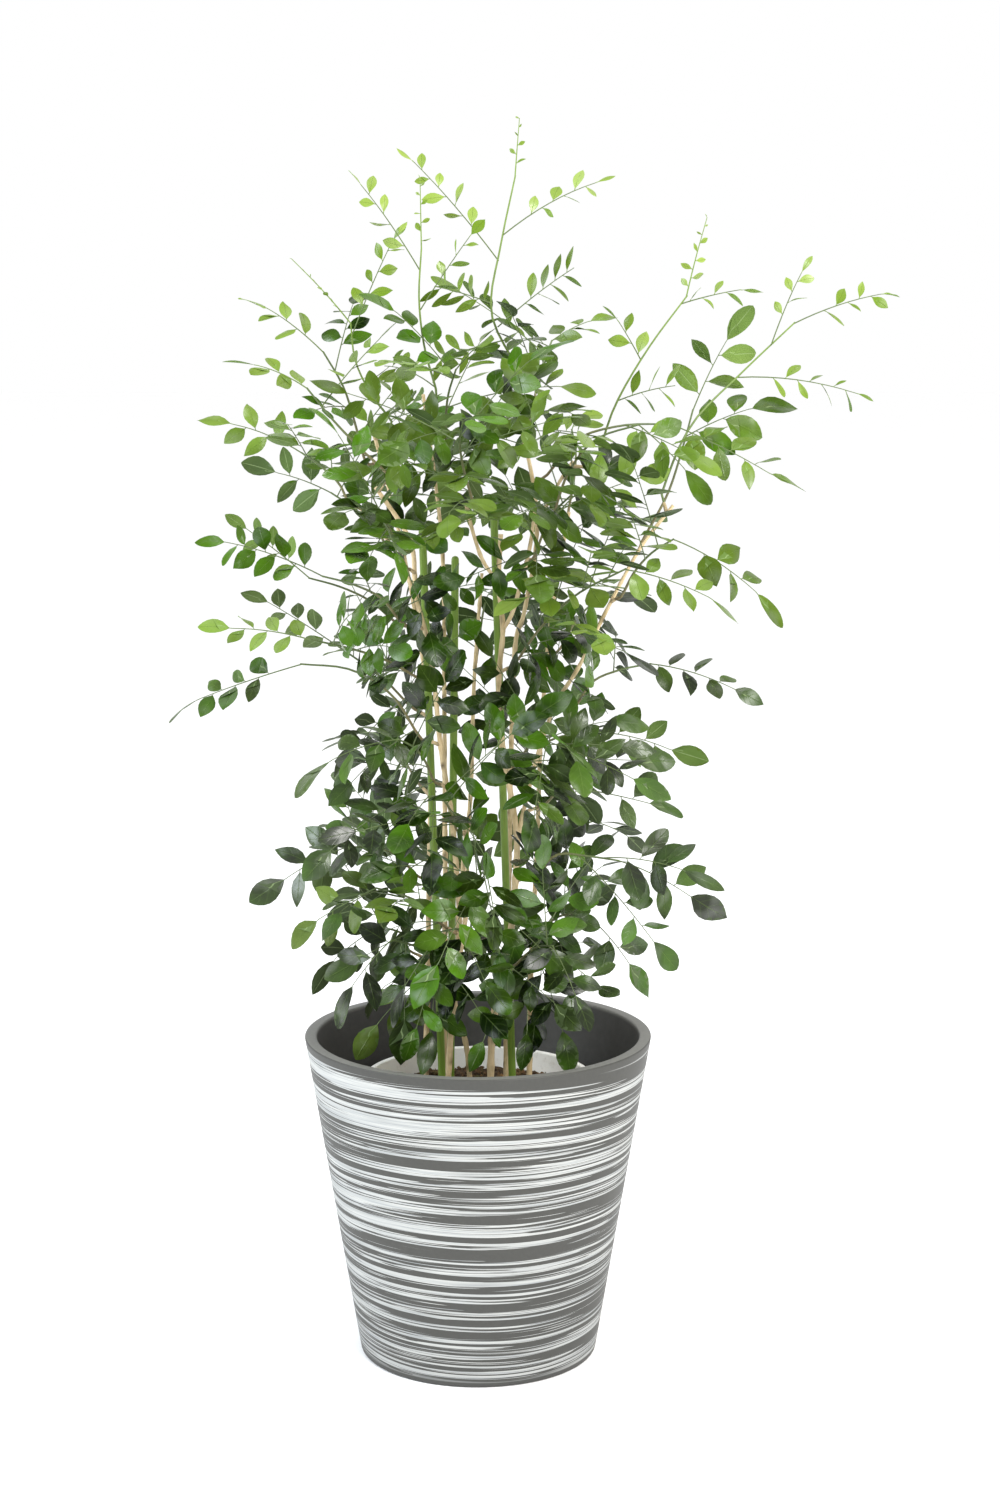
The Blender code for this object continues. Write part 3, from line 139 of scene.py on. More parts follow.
# Canes, in millimetres: each is a row of stems, and a stem is its foot radius, its head radius and
# its points. The first stem of a cane stands in the soil, and the others fork off it.
CANES = (
    ((3.2, 2.0, ((-34, -35, 0), (-24, -36, 387), (-18, -36, 454), (-22, -36, 520), (-27, -36, 570),
      (-36, -36, 628), (-45, -37, 716), (-59, -38, 776), (-62, -42, 821), (-72, -48, 846),
      (-97, -60, 884))),
     (2.0, 1.6, ((-59, -38, 774), (-68, -32, 797), (-81, -24, 821), (-96, -14, 840), (-114, -6, 862))),
     (2.6, 1.8, ((-24, -36, 390), (-14, -46, 441), (-10, -52, 500), (-13, -58, 560)))),
    ((3.8, 2.2, ((12, -22, 0), (14, -22, 328), (23, -22, 398), (33, -22, 440), (39, -22, 520),
      (36, -22, 560), (24, -22, 631), (21, -22, 692), (25, -22, 742), (21, -22, 789), (23, -22, 836))),
     (2.1, 1.7, ((25, -22, 742), (34, -27, 759), (42, -32, 787), (51, -37, 824), (56, -46, 862))),
     (1.9, 1.6, ((21, -22, 788), (6, -30, 810), (-3, -40, 836), (-11, -50, 868))),
     (2.2, 1.6, ((39, -22, 530), (49, -22, 577), (60, -21, 620), (77, -20, 668), (100, -20, 706),
      (127, -20, 762), (159, -20, 822), (191, -20, 864)))),
    ((3.1, 1.7, ((28, 34, 0), (31, 34, 460), (36, 33, 700), (46, 31, 752), (57, 29, 812), (58, 27, 862),
      (46, 20, 925), (28, 8, 985))),
     (1.9, 1.6, ((58, 28, 836), (74, 24, 872), (94, 16, 905)))),
    ((3.0, 1.6, ((-36, 48, 0), (-34, 50, 420), (-34, 50, 664), (-35, 49, 804), (-43, 36, 890),
      (-53, 10, 970))),),
    ((2.8, 1.7, ((-4, 24, 0), (-12, 24, 308), (-24, 26, 356), (-20, 34, 450), (-8, 44, 560),
      (-4, 52, 680), (4, 60, 790))),),
    ((3.1, 1.6, ((-56, 52, 0), (-52, 62, 394), (-50, 74, 520), (-50, 82, 640), (-66, 78, 760),
      (-86, 62, 860), (-104, 40, 935))),),
    ((3.1, 1.7, ((52, 48, 0), (54, 58, 380), (60, 68, 500), (64, 76, 620), (74, 82, 740),
      (92, 80, 850))),),
)

# Leafy shoots, in millimetres: the number of the cane and of its stem that carries it and the
# height there, the twig's points past its spur, the leaves at chosen places as the part of the
# twig and the tip of the leaf, the number of further leaves, the length of a leaflet and the
# pairs of leaflets on a leaf.
SHOOTS = (
    (3, 0, 978, ((14, 0, 1040), (24, 0, 1120), (37, 0, 1180)), ((0.99, 41, 0, 1237),
     (0.72, 134, 4, 1184), (0.60, -75, -6, 1209), (0.28, 110, -30, 1105),
     (0.40, -60, 50, 1080)), 2, 21, 4),
    (4, 0, 962, ((-55, -20, 1040), (-53, -30, 1110)), ((0.99, -54, -34, 1182), (0.86, -122, -30, 1187),
     (0.62, 6, -36, 1140)), 1, 21, 4),
    (6, 0, 925, ((-116, 24, 990), (-124, 20, 1040)), ((0.99, -184, 20, 1106),
     (0.90, -73, 20, 1140)), 1, 22, 4),
    (3, 1, 900, ((130, 4, 950), (172, 0, 1024), (204, 0, 1066)), ((0.99, 223, 0, 1146),
     (0.95, 272, 4, 1087), (0.62, 126, -4, 1060), (0.40, 215, -24, 986)), 1, 24, 4),
    (2, 3, 856, ((212, 12, 944), (268, 30, 998), (312, 30, 1040)), ((0.99, 416, 30, 1074),
     (0.86, 326, 32, 1106), (0.66, 394, 26, 968)), 0, 20, 4),
    (6, 0, 900, ((-130, 10, 975), (-150, 0, 1012)), ((0.99, -226, -4, 1072),), 3, 30, 4),
    (1, 0, 880, ((-128, -80, 940), (-160, -92, 980)), ((0.99, -228, -104, 1012),), 3, 31, 3),
    (1, 1, 858, ((-140, -4, 890), (-172, 0, 914)), ((0.99, -270, 0, 955),), 3, 33, 5),
    (6, 0, 800, ((-110, 94, 840), (-150, 104, 868)), ((0.99, -232, 110, 898),), 3, 32, 4),
    (6, 0, 730, ((-120, 68, 768), (-170, 52, 786)), ((0.99, -252, 50, 852),), 2, 27, 5),
    (1, 0, 745, ((-100, -50, 782), (-150, -52, 798)), ((0.99, -268, -50, 840),), 3, 27, 5),
    (6, 0, 640, ((-100, 96, 680), (-146, 102, 712)), ((0.99, -240, 104, 772),), 3, 30, 4),
    (1, 0, 690, ((-100, -80, 725), (-158, -116, 744)), ((0.99, -262, -122, 760),), 4, 30, 4),
    (1, 0, 630, ((-100, -60, 700), (-170, -80, 716)), ((0.99, -298, -82, 672),), 3, 32, 5),
    (1, 0, 588, ((-56, -66, 628), (-76, -88, 644)), ((0.99, -170, -110, 618),), 4, 42, 3),
    (6, 0, 470, ((-90, 36, 510), (-132, 6, 520)), ((0.99, -222, -2, 474),), 4, 36, 4),
    (1, 0, 440, ((-60, -52, 478), (-100, -60, 492)), ((0.99, -184, -64, 446),), 3, 38, 4),
    (6, 0, 390, ((-80, 62, 420), (-104, 52, 426)), ((0.99, -168, 46, 380),), 2, 34, 3),
    (1, 0, 400, ((-56, -62, 432), (-84, -86, 446)), ((0.99, -138, -104, 385),), 1, 40, 3),
    (1, 2, 440, ((-18, -82, 456), (-36, -96, 456)), ((0.99, -86, -116, 382),), 3, 37, 3),
    (2, 3, 820, ((190, 10, 880), (214, 50, 954)), ((0.99, 262, 56, 1054),
     (0.80, 300, 64, 976)), 1, 40, 3),
    (3, 0, 880, ((110, -14, 936), (190, -6, 942)), ((0.99, 318, 0, 880),
     (0.70, 230, -60, 905)), 2, 38, 5),
    (2, 1, 852, ((100, -84, 922), (154, -100, 946)), ((0.99, 216, -108, 886),), 4, 36, 3),
    (2, 3, 770, ((160, -44, 812), (190, -52, 834)), ((0.99, 306, -50, 760),), 3, 41, 4),
    (2, 0, 700, ((80, -80, 772), (142, -102, 810)), ((0.99, 254, -104, 772),), 7, 34, 4),
    (2, 3, 660, ((120, -8, 694), (172, 0, 706)), ((0.99, 288, 0, 671),), 4, 35, 5),
    (3, 0, 590, ((74, 40, 624), (114, 50, 630)), ((0.99, 230, 52, 604),), 3, 36, 5),
    (2, 3, 560, ((86, -10, 582), (116, 0, 578)), ((0.99, 196, 0, 560),), 3, 37, 3),
    (2, 0, 490, ((80, -32, 520), (140, -34, 514)), ((0.99, 244, -34, 462), (0.82, 234, -60, 500),
     (0.60, 206, -56, 408)), 1, 38, 4),
    (7, 0, 420, ((90, 30, 446), (114, 8, 446)), ((0.99, 170, -4, 382),), 3, 38, 4),
    (2, 2, 862, ((-16, -86, 920), (-12, -124, 950)), ((0.99, 0, -216, 958),), 7, 38, 4),
    (2, 1, 810, ((70, -80, 856), (88, -120, 880)), ((0.99, 118, -212, 878),), 7, 38, 4),
    (3, 0, 930, ((62, 52, 990), (74, 66, 1022)), ((0.99, 130, 104, 1050),), 3, 32, 4),
    (7, 0, 840, ((100, 116, 900), (96, 148, 930)), ((0.99, 110, 236, 950),), 2, 34, 4),
    (6, 0, 850, ((-84, 110, 910), (-80, 144, 936)), ((0.99, -98, 232, 954),), 2, 34, 4),
    (7, 0, 700, ((104, 120, 740), (128, 152, 756)), ((0.99, 180, 226, 754),), 1, 36, 4),
    (5, 0, 700, ((4, 110, 740), (8, 152, 756)), ((0.99, 20, 256, 760),), 2, 36, 4),
    (6, 0, 560, ((-86, 126, 600), (-110, 160, 612)), ((0.99, -164, 236, 590),), 2, 36, 4),
    (7, 0, 480, ((96, 106, 516), (120, 136, 522)), ((0.99, 176, 204, 486),), 1, 37, 4),
    (4, 0, 430, ((-30, 104, 476), (-34, 140, 484)), ((0.99, -50, 226, 446),), 2, 37, 4),
    (1, 2, 545, ((-30, -100, 586), (-46, -132, 596)), ((0.99, -70, -222, 576),), 6, 38, 4),
    (2, 0, 600, ((56, -70, 640), (72, -104, 650)), ((0.99, 104, -196, 632),), 7, 38, 4),
    (1, 2, 480, ((4, -96, 514), (10, -124, 518)), ((0.99, 20, -210, 482),), 5, 38, 4),
    (2, 0, 400, ((56, -62, 432), (74, -88, 440)), ((0.99, 104, -150, 385),), 4, 37, 3),
    (1, 0, 800, ((-84, -92, 850), (-96, -128, 866)), ((0.99, -130, -214, 872),), 7, 36, 4),
    (4, 0, 900, ((-30, -10, 960), (-20, -40, 996)), ((0.99, 10, -120, 1030),), 3, 32, 4),
)


def unit(vector):
    return vector / np.linalg.norm(vector)


def square_to(vector, axis):
    """The part of a vector that is square to an axis, as a unit vector."""
    return unit(vector - axis * (vector @ axis))


def walk(points):
    """How far along a route each of its points is."""
    return np.r_[0, np.cumsum(np.linalg.norm(np.diff(points, axis=0), axis=1))]


def sampled(points, steps, fineness=8):
    """A smooth curve through the points, by Catmull-Rom, at even steps of its length."""
    points = np.array(points, float)
    padded = np.vstack([2 * points[0] - points[1], points, 2 * points[-1] - points[-2]])
    fine = []
    for a, b, c, d in zip(padded, padded[1:], padded[2:], padded[3:]):
        for t in np.linspace(0, 1, fineness, endpoint=False):
            fine.append(0.5 * (2 * b + (c - a) * t + (2 * a - 5 * b + 4 * c - d) * t * t
                               + (3 * b - a - 3 * c + d) * t ** 3))
    fine = np.array(fine + [points[-1]])
    walked = walk(fine)
    return at_lengths(fine, walked, np.linspace(0, walked[-1], steps + 1))


def at_lengths(points, walked, wanted):
    """The places on a route that are at the wanted lengths along it."""
    return np.stack([np.interp(wanted, walked, points[:, k]) for k in range(3)], axis=1)


def frames(points, upward):
    """The direction, the left side and the upper side at each point of a route. The left side
    starts square to upward and is carried along without twist."""
    steps = np.diff(points, axis=0)
    along = np.vstack([steps[:1], steps[:-1] + steps[1:], steps[-1:]])
    along /= np.linalg.norm(along, axis=1)[:, None]
    left = [unit(np.cross(upward, along[0]))]
    for direction in along[1:]:
        left.append(square_to(left[-1], direction))
    left = np.array(left)
    return along, left, np.cross(along, left)


def bands(rings):
    """Quads between each ring of corner numbers and the next, one row of quads for each pair."""
    here, there = rings[:-1], rings[1:]
    return np.stack([here, np.roll(here, -1, axis=1), np.roll(there, -1, axis=1), there], axis=-1)


def halves(quads):
    """Each quad as two triangles."""
    return np.concatenate([quads[:, (0, 1, 2)], quads[:, (0, 2, 3)]])


def rod(points, radii, sides):
    """A capped tube: at each point a ring of the radius there, in the plane across the route.
    Its faces are the wall's quads as one array, then its two caps."""
    points = np.array(points, float)
    start = points[1] - points[0]
    steep = abs(start[2]) > STEEP * np.linalg.norm(start)
    _, left, upper = frames(points, np.array((0.0, 1.0, 0.0) if steep else (0.0, 0.0, 1.0)))
    turn = 2 * math.pi * np.arange(sides) / sides
    corners = points[:, None] + np.array(radii)[:, None, None] * (
        left[:, None] * np.cos(turn)[None, :, None] + upper[:, None] * np.sin(turn)[None, :, None])
    rings = np.arange(len(points) * sides).reshape(len(points), sides)
    return corners.reshape(-1, 3), [bands(rings).reshape(-1, 4), rings[0][::-1], rings[-1]]


def bent(root, control, tip, steps):
    """Points of the quadratic curve that leaves the root towards the control point."""
    t = np.linspace(0, 1, steps + 1)[:, None]
    return root * (1 - t) ** 2 + control * 2 * t * (1 - t) + tip * t * t


class Leaf:
    """A pinnate leaf: its stalk's route, and its leaflets as (root, axis, across, upper, length,
    half width, place on the stalk, side). The last leaflet is the one at the tip."""

    def __init__(self, root, tip, arch, facing, size, pairs, draw):
        length = np.linalg.norm(tip - root)
        control = (root + tip) / 2 + np.array((0, 0, arch * length))
        self.route = bent(root, control, tip, STALK_STEPS)
        way = unit(tip - root)
        if np.linalg.norm(np.cross(facing, way)) < EDGE_ON:
            facing = np.array(FACE_AWAY[0 if abs(way[2]) < UPRIGHT else 1])
        self.along, self.left, self.upper = frames(self.route, facing)
        self.length = length
        room_for = 1 + int((length * (1 - BARE_STALK) - size * LAST_PAIR) / (size * PAIR_SPACING))
        pairs = max(1, min(pairs, room_for))
        self.leaflets = []
        for k in range(pairs)[::-1]:
            place = 1 - size * (LAST_PAIR + PAIR_SPACING * k) / length
            swell = math.sin(math.pi * min(1.0, SWELL_START + SWELL_SPAN * place))
            grown = size * (GROWN_LEAST + GROWN_SWELL * swell)
            for side in (1, -1):
                self.add(place, side, math.radians(LEAN - LEAN_FALL * place + draw.uniform(*LEAN_RANGE)),
                         draw.uniform(*RISE_RANGE), draw.uniform(*ROLL_RANGE),
                         grown * draw.uniform(*GROWTH_RANGE))
        self.add(1.0, 0, math.radians(draw.uniform(*TIP_LEAN_RANGE)), draw.uniform(*TIP_RISE_RANGE),
                 draw.uniform(*TIP_ROLL_RANGE), size * draw.uniform(*TIP_GROWTH_RANGE))
        last = pairs - 1
        shown = [last] if length < SHORT_FROND else sorted({last, max(0, last - 2)})
        self.bends = [self.leaflets[2 * pair][6] for pair in shown]

    def spots(self, places):
        """Points of the stalk at places from 0 at its root to 1 at its tip."""
        steps = np.arange(len(self.route)) / (len(self.route) - 1)
        return at_lengths(self.route, steps, places)

    def add(self, place, side, lean, rise, roll, length):
        """A leaflet at a place on the stalk: its axis leans from the stalk and rises from the
        leaf's plane, and its blade is rolled about its axis."""
        here = int(place * STALK_STEPS)
        along, left, normal = self.along[here], self.left[here], self.upper[here]
        sideways = left * (side if side else 1)
        axis = unit(along * math.cos(lean) + sideways * math.sin(lean) + normal * rise)
        upper = square_to(normal, axis)
        across = np.cross(upper, axis)
        upper, across = (upper * math.cos(roll) + across * math.sin(roll),
                         across * math.cos(roll) - upper * math.sin(roll))
        self.leaflets.append((self.route[here], axis, across, upper, length, length * BLADE_SHARE,
                              place, side))


def blade_room(leaf):
    """Corners and triangles of flat boxes round the leaflets of a leaf."""
    points, faces = [], []
    for root, axis, across, upper, length, half, _, _ in leaf.leaflets:
        half, reach = half * ROOM_SHARE, length * ROOM_LENGTH
        for lift in (ROOM_THICK, -ROOM_THICK):
            middle, rise = root + axis * reach * 0.5, upper * lift
            points += [root + axis * LEAFLET_FOOT + rise, middle + across * half + rise,
                       root + axis * reach + rise, middle - across * half + rise]
        low, high = np.arange(len(points) - 8, len(points)).reshape(2, 4)
        faces += halves(np.array([low, high, *bands(np.array([low, high]))[0]])).tolist()
    return points, faces


def rod_room(route, radius):
    """Corners and triangles of a three-sided rod round a route."""
    points, (walls, *caps) = rod(route, [radius] * len(route), 3)
    return points, np.concatenate([halves(walls), np.array(caps)]).tolist()


class Room:
    """The space that is already taken: a search tree and a box for each thing placed."""

    def __init__(self):
        self.taken = []

    def add(self, name, points, faces):
        points = np.array(points)
        tree = BVHTree.FromPolygons(points.tolist(), faces)
        self.taken.append((name, tree, points.min(0), points.max(0)))

    def free(self, points, faces, leave=()):
        """Whether the triangles meet nothing placed, apart from the names left out."""
        points = np.array(points)
        low, high = points.min(0), points.max(0)
        tree = None
        for name, other, other_low, other_high in self.taken:
            if name in leave or (low > other_high).any() or (high < other_low).any():
                continue
            tree = tree or BVHTree.FromPolygons(points.tolist(), faces)
            if tree.overlap(other):
                return False
        return True


def ring_wall(*radii_heights):
    """A band of triangles through rings of (radius, height)."""
    turn = 2 * math.pi * np.arange(ROOM_SIDES) / ROOM_SIDES
    points = [(r * math.cos(a), r * math.sin(a), z) for r, z in radii_heights for a in turn]
    rings = np.arange(len(points)).reshape(-1, ROOM_SIDES)
    return points, halves(bands(rings).reshape(-1, 4)).tolist()


def cane_stems(cane):
    """The points and radii of a cane's stems, with the first one's foot set into the soil."""
    stems = []
    for index, (foot, head, points) in enumerate(CANES[cane - 1]):
        points = np.array(points) / 1000
        if index == 0:
            points[0, 2] = CANE_HOLE_FLOOR + CLEARANCE
        stems.append((points, np.linspace(foot / 1000, head / 1000, len(points))))
    return stems


def stake_route(index):
    """A stake's foot, set into the soil, and its head."""
    (x, y), head = STAKES[index]
    return np.array(((x / 1000, y / 1000, STAKE_HOLE_FLOOR + CLEARANCE), np.array(head) / 1000))


def place_at_height(points, height):
    """The point of a stem at a height, and the stem's direction there."""
    for a, b in zip(points, points[1:]):
        if a[2] <= height <= b[2]:
            share = (height - a[2]) / (b[2] - a[2])
            return a + (b - a) * share, unit(b - a)
    return points[-1], unit(points[-1] - points[-2])


class Shoot:
    """A leafy shoot: its spur's two ends, its twig's route and its leaves."""

    def __init__(self, number):
        cane, stem, height, through, named, further, size, pairs = SHOOTS[number - 1]
        self.name, self.number, self.cane, self.size = f"spray_{number:02d}", number, cane, size / 1000
        self.named, self.further, self.pairs = named, further, pairs
        self.seat, grows = place_at_height(cane_stems(cane)[stem][0], height / 1000)
        self.through = np.array(through) / 1000
        self.away = unit(square_to(self.through[0] - self.seat, grows) + SPUR_RISE * grows)
        self.spur_end = self.seat + self.away * SPUR_LENGTH
        self.leaves = []

    def lay_twig(self, sideways):
        """The twig's route through its points, all but the last of them moved sideways."""
        start = self.spur_end + self.away * CLEARANCE
        first = start + self.away * TWIG_START
        through = self.through.copy()
        through[:-1] += sideways
        self.twig = np.vstack([start, first, sampled(np.vstack([first, through]), TWIG_STEPS - 1)[1:]])
        self.walked = walk(self.twig)

    def on_twig(self, share, near=0.002):
        """The point and the direction at a share of the twig's length."""
        here = share * self.walked[-1]
        spots = at_lengths(self.twig, self.walked, np.array([here - near, here, here + near]))
        return spots[1], unit(spots[2] - spots[0])


def grow():
    """Every shoot with its leaves, placed so that nothing meets anything else, with the space
    that they take and the state of the random draws."""
    draw = np.random.default_rng(SEED)
    room = Room()
    rim, top = PLANTER_HEIGHT + PLANTER_MARGIN, NURSERY_TOP + SOIL_MARGIN
    inner = PLANTER_RIM_RADIUS - PLANTER_WALL - PLANTER_MARGIN
    room.add("planter", *ring_wall((PLANTER_FOOT_RADIUS, PLANTER_LOW),
                                   (PLANTER_RIM_RADIUS + PLANTER_MARGIN, rim), (inner, rim),
                                   (PLANTER_FOOT_RADIUS + PLANTER_MARGIN, PLANTER_LOW)))
    outer, inner = NURSERY_RIM_RADIUS + SOIL_MARGIN, NURSERY_RIM_RADIUS - NURSERY_LIP_WIDTH - SOIL_MARGIN
    room.add("soil", *ring_wall((outer, SOIL_LOW), (outer, top), (inner, top),
                                (0.0, SOIL_TOP + SOIL_SWELL + SOIL_MARGIN)))
    for index in range(len(STAKES)):
        room.add("stake", *rod_room(stake_route(index), STAKE_RADIUS * ROOM_STAKE_SHARE + ROOM_ROD))
    for cane in range(1, len(CANES) + 1):
        for points, radii in cane_stems(cane):
            room.add(cane, *rod_room(points, radii[0] * ROOM_CANE_SHARE + ROOM_ROD))
    shoots = [Shoot(number) for number in range(1, len(SHOOTS) + 1)]
    for shoot in shoots:
        spur = np.array((shoot.seat, shoot.spur_end))
        room.add(shoot.name + "_spur", *rod_room(spur, SPUR_RADIUS * ROOM_CANE_SHARE))
    for shoot in shoots:
        for attempt in range(TWIG_TRIES):
            shoot.lay_twig(draw.uniform(-1, 1, 3) * TWIG_WANDER * attempt)
            whole, beyond = (rod_room(part, TWIG_RADIUS + ROOM_TWIG_TEST)
                             for part in (shoot.twig, shoot.twig[1:]))
            if room.free(*whole, leave=(shoot.name + "_spur", shoot.cane)) and room.free(*beyond):
                break
        room.add(shoot.name + "_twig", *rod_room(shoot.twig, TWIG_RADIUS + ROOM_TWIG))
    for shoot in shoots:
        for share, *tip in shoot.named:
            add_named_leaf(shoot, room, draw, share, tip)
    for turn in range(max(shoot.further for shoot in shoots)):
        for shoot in shoots:
            if turn < shoot.further:
                add_side_leaf(shoot, room, draw, turn)
    return shoots, room, draw


def add_leaf(shoot, room, draw, root, tip, pairs, attempts, wander):
    """Try a leaf with small changes until it meets nothing, and keep it if it is free."""
    for attempt in range(attempts):
        moved = tip + draw.uniform(-1, 1, 3) * wander * attempt
        arch = draw.uniform(*ARCH_RANGE)
        forward = np.interp(root[2], FACE_HEIGHTS, FACE_FORWARD)
        if root[1] < FRONT_HALF:
            forward = -forward
        up = np.interp(root[2], FACE_HEIGHTS, FACE_UP)
        facing = np.array((FACE_OUT * np.sign(root[0]), forward, up))
        facing = unit(facing + draw.uniform(-FACE_SPREAD, FACE_SPREAD, 3))
        leaf = Leaf(root, moved, arch, facing, shoot.size, pairs, draw)
        blades = blade_room(leaf)
        stalk, beyond = (rod_room(leaf.spots([first, *leaf.bends, 1.0]), ROOM_STALK)
                         for first in (0.0, ROOM_PAST_ROOT))
        if (room.free(*blades) and room.free(*stalk, leave=(shoot.name + "_twig", shoot.name + "_root"))
                and room.free(*beyond)):
            room.add(shoot.name, *blades)
            room.add(shoot.name, *beyond)
            room.add(shoot.name + "_root", *stalk)
            shoot.leaves.append(leaf)
            return True
    return False


def add_named_leaf(shoot, room, draw, share, tip):
    """A leaf from a part of the twig towards a place in millimetres, where its end leaflet ends."""
    root, _ = shoot.on_twig(share)
    whole = np.array(tip) / 1000 - root
    stalk = max(1 - TERMINAL_SHARE * shoot.size / np.linalg.norm(whole), LEAST_STALK)
    add_leaf(shoot, room, draw, root, root + whole * stalk, shoot.pairs, NAMED_TRIES, NAMED_WANDER)


def add_side_leaf(shoot, room, draw, turn):
    """A leaf from the twig's side, turned by the golden angle from the last and reaching up."""
    share = SIDE_FIRST + SIDE_SPAN * turn / max(shoot.further - 1, 1)
    heights, *edges = BUSH_SIDES.T
    for attempt in range(SIDE_TRIES):
        shifted = share + draw.uniform(-SIDE_SHIFT, SIDE_SHIFT)
        root, along = shoot.on_twig(min(SIDE_ENDS[1], max(SIDE_ENDS[0], shifted)))
        left = unit(np.cross(along, SIDE_LEFT))
        about = math.radians(GOLDEN_ANGLE * turn) + draw.uniform(0, 2 * math.pi)
        outward = left * math.cos(about) + np.cross(along, left) * math.sin(about)
        way = along * draw.uniform(*(SIDE_LEAN_RANGE if turn else FIRST_LEAN_RANGE)) + outward
        way[2] = way[2] * SIDE_FLATNESS + SIDE_CLIMB
        reach = draw.uniform(*SIDE_REACH_RANGE) * (REACH_FIXED + REACH_GROWN * shoot.size / FULL_SIZE)
        tip = root + unit(way) * reach
        left_edge, right_edge = (np.interp(tip[2], heights, edge) for edge in edges)
        if (tip[2] <= BUSH_TOP and abs(tip[1]) <= BUSH_DEPTH and left_edge <= tip[0] <= right_edge
                and add_leaf(shoot, room, draw, root, tip, max(SIDE_PAIRS, shoot.pairs - 1),
                             SIDE_SUBTRIES, SIDE_WANDER)):
            return True
    return False


# Further leaves in the heart of the bush: how many more each shoot carries, by its number.
HEART = {31: 4, 32: 5, 41: 3, 42: 3, 43: 3, 45: 4, 25: 4, 23: 3, 13: 3, 15: 2, 17: 2, 19: 2, 20: 2,
         44: 1, 46: 4, 33: 3, 29: 1, 30: 1, 28: 1, 27: 1, 16: 1, 24: 2, 26: 1, 14: 1, 12: 1, 40: 1,
         37: 2, 35: 1, 34: 1}
# Below this height, in metres, they stay this near to the plant's axis, over the planter.
LOW_HEIGHT, LOW_REACH = 0.44, 0.115
# Leaves that hang inside the planter, by their shoot's number: the part of the twig, and the tip of
# the leaf in millimetres.
HANGING = {44: ((0.45, 48, -110, 325), (0.15, -8, -120, 322), (0.60, 95, -105, 325),
                (0.75, 118, -70, 340), (0.30, 22, -125, 315), (0.90, 100, -40, 350)),
           19: ((0.75, -72, -95, 335), (0.15, -50, -110, 330)),
           30: ((0.30, 100, -40, 350), (0.15, 118, -70, 340))}
# How far a further leaf keeps clear of the front canes, seen from the front, and the heights at
# which it does.
FRONT_CANES, CANE_SIGHT, SIGHT_HEIGHTS, SIGHT_TRIES = (1, 2), 0.007, (0.28, 0.84), 5

# A leaflet's blade as a grid: places from foot to tip, and from edge to edge.
BLADE_PLACES = np.array((0.0, 0.10, 0.25, 0.42, 0.58, 0.73, 0.86, 0.955, 1.0))
BLADE_ACROSS = np.array((-1.0, -0.5, 0.0, 0.5, 1.0))
# Leaflets: the share of a leaflet that is its own stalk, how far that reaches into the blade, the
# age below which a leaflet is young, the two powers of the outline, which put its widest part near
# the middle and draw a young one to a point at both ends, and the half width and roll as ranges.
LEAFLET_STALK, STALK_IN_BLADE, YOUNG_AGE = 0.07, 0.05, 0.3
OUTLINE_FOOT, YOUNG_FOOT = 0.95, 1.30
OUTLINE_TIP_RANGE, YOUNG_TIP_RANGE = (0.66, 1.12), (0.85, 1.15)
BLADE_HALF_RANGE, FINE_ROLL_RANGE = (0.72, 1.06), (-0.65, 0.65)
# A blade's thickness in metres, and the least share of it near foot and tip.
BLADE_THICKNESS, THIN_END = 0.00045, 0.05
# How a blade is bent: the fold along its midrib, the arch across it, how far its tip sinks, the
# waves of its edge, its sideways bow and its twist, all as ranges of shares of its own size.
FOLD_RANGE, ARCH_ACROSS_RANGE, SINK_RANGE = (0.02, 0.26), (-0.22, 0.10), (0.03, 0.24)
WAVE_RANGE, BOW_RANGE, TWIST_RANGE = (0.02, 0.13), (-0.06, 0.06), (-0.40, 0.40)
# How steep the fold is at the midrib, how much less at the edge, how fast the waves run along the
# blade, how far those of its edges are apart, and the place that the twist leaves as it is.
FOLD_STEEP, FOLD_LESS, WAVE_RATE, WAVE_APART, TWIST_REST = 1.25, 0.35, 6.0, 1.5, 0.3
# How far the leaflets of a pair stand apart along the leaf's stalk, as a share of their length, and
# the lowest place on the stalk.
ALTERNATE_SHIFT, LOWEST_PLACE = 0.17, 0.05

# Young shoots: the leaflet length that marks them. Their leaflets: spacing, length and half width
# in metres, the range of their growth, the angle at which they leave the stalk in degrees, how far
# their axes stray, how far their faces are turned on the upper and on the lower side of the stalk,
# how much that varies, the fewest of them, the shares of length and width of the one at the tip,
# and the ages of their stalks and of the leaflets.
YOUNG_SIZE = 0.026
YOUNG_SPACING, YOUNG_LENGTH, YOUNG_HALF, YOUNG_GROWTH_RANGE = 0.0120, 0.0205, 0.0060, (0.72, 1.22)
YOUNG_LEAN, YOUNG_STRAY, YOUNG_TURNS, YOUNG_TURN_SPREAD = 52.0, 0.16, (0.30, 1.05), 0.35
YOUNG_FEWEST, YOUNG_TIP_SHARES, YOUNG_STALK_AGE, SPROUT_AGE = 4, (0.85, 0.75), 0.36, 0.05
# The leader, the stem's own tip, which all but one of them have: the spacing of its leaves in
# metres, the size of the first and the last against the shoot's leaflets, how far it is drawn out
# as shares of a leaflet, its bare part, and how its leaves vary in growth, width, roll and stray.
LEADER_SPACING, LEADER_ENDS, LEADERLESS = 0.0085, (0.78, 0.20), 5
LEADER_DRAWN, LEADER_BARE, LEADER_GROWTH_RANGE = (0.4, 0.8), 0.12, (0.7, 1.3)
LEADER_WIDTH, LEADER_ROLL, LEADER_STRAY = 0.9, 0.9, 0.4
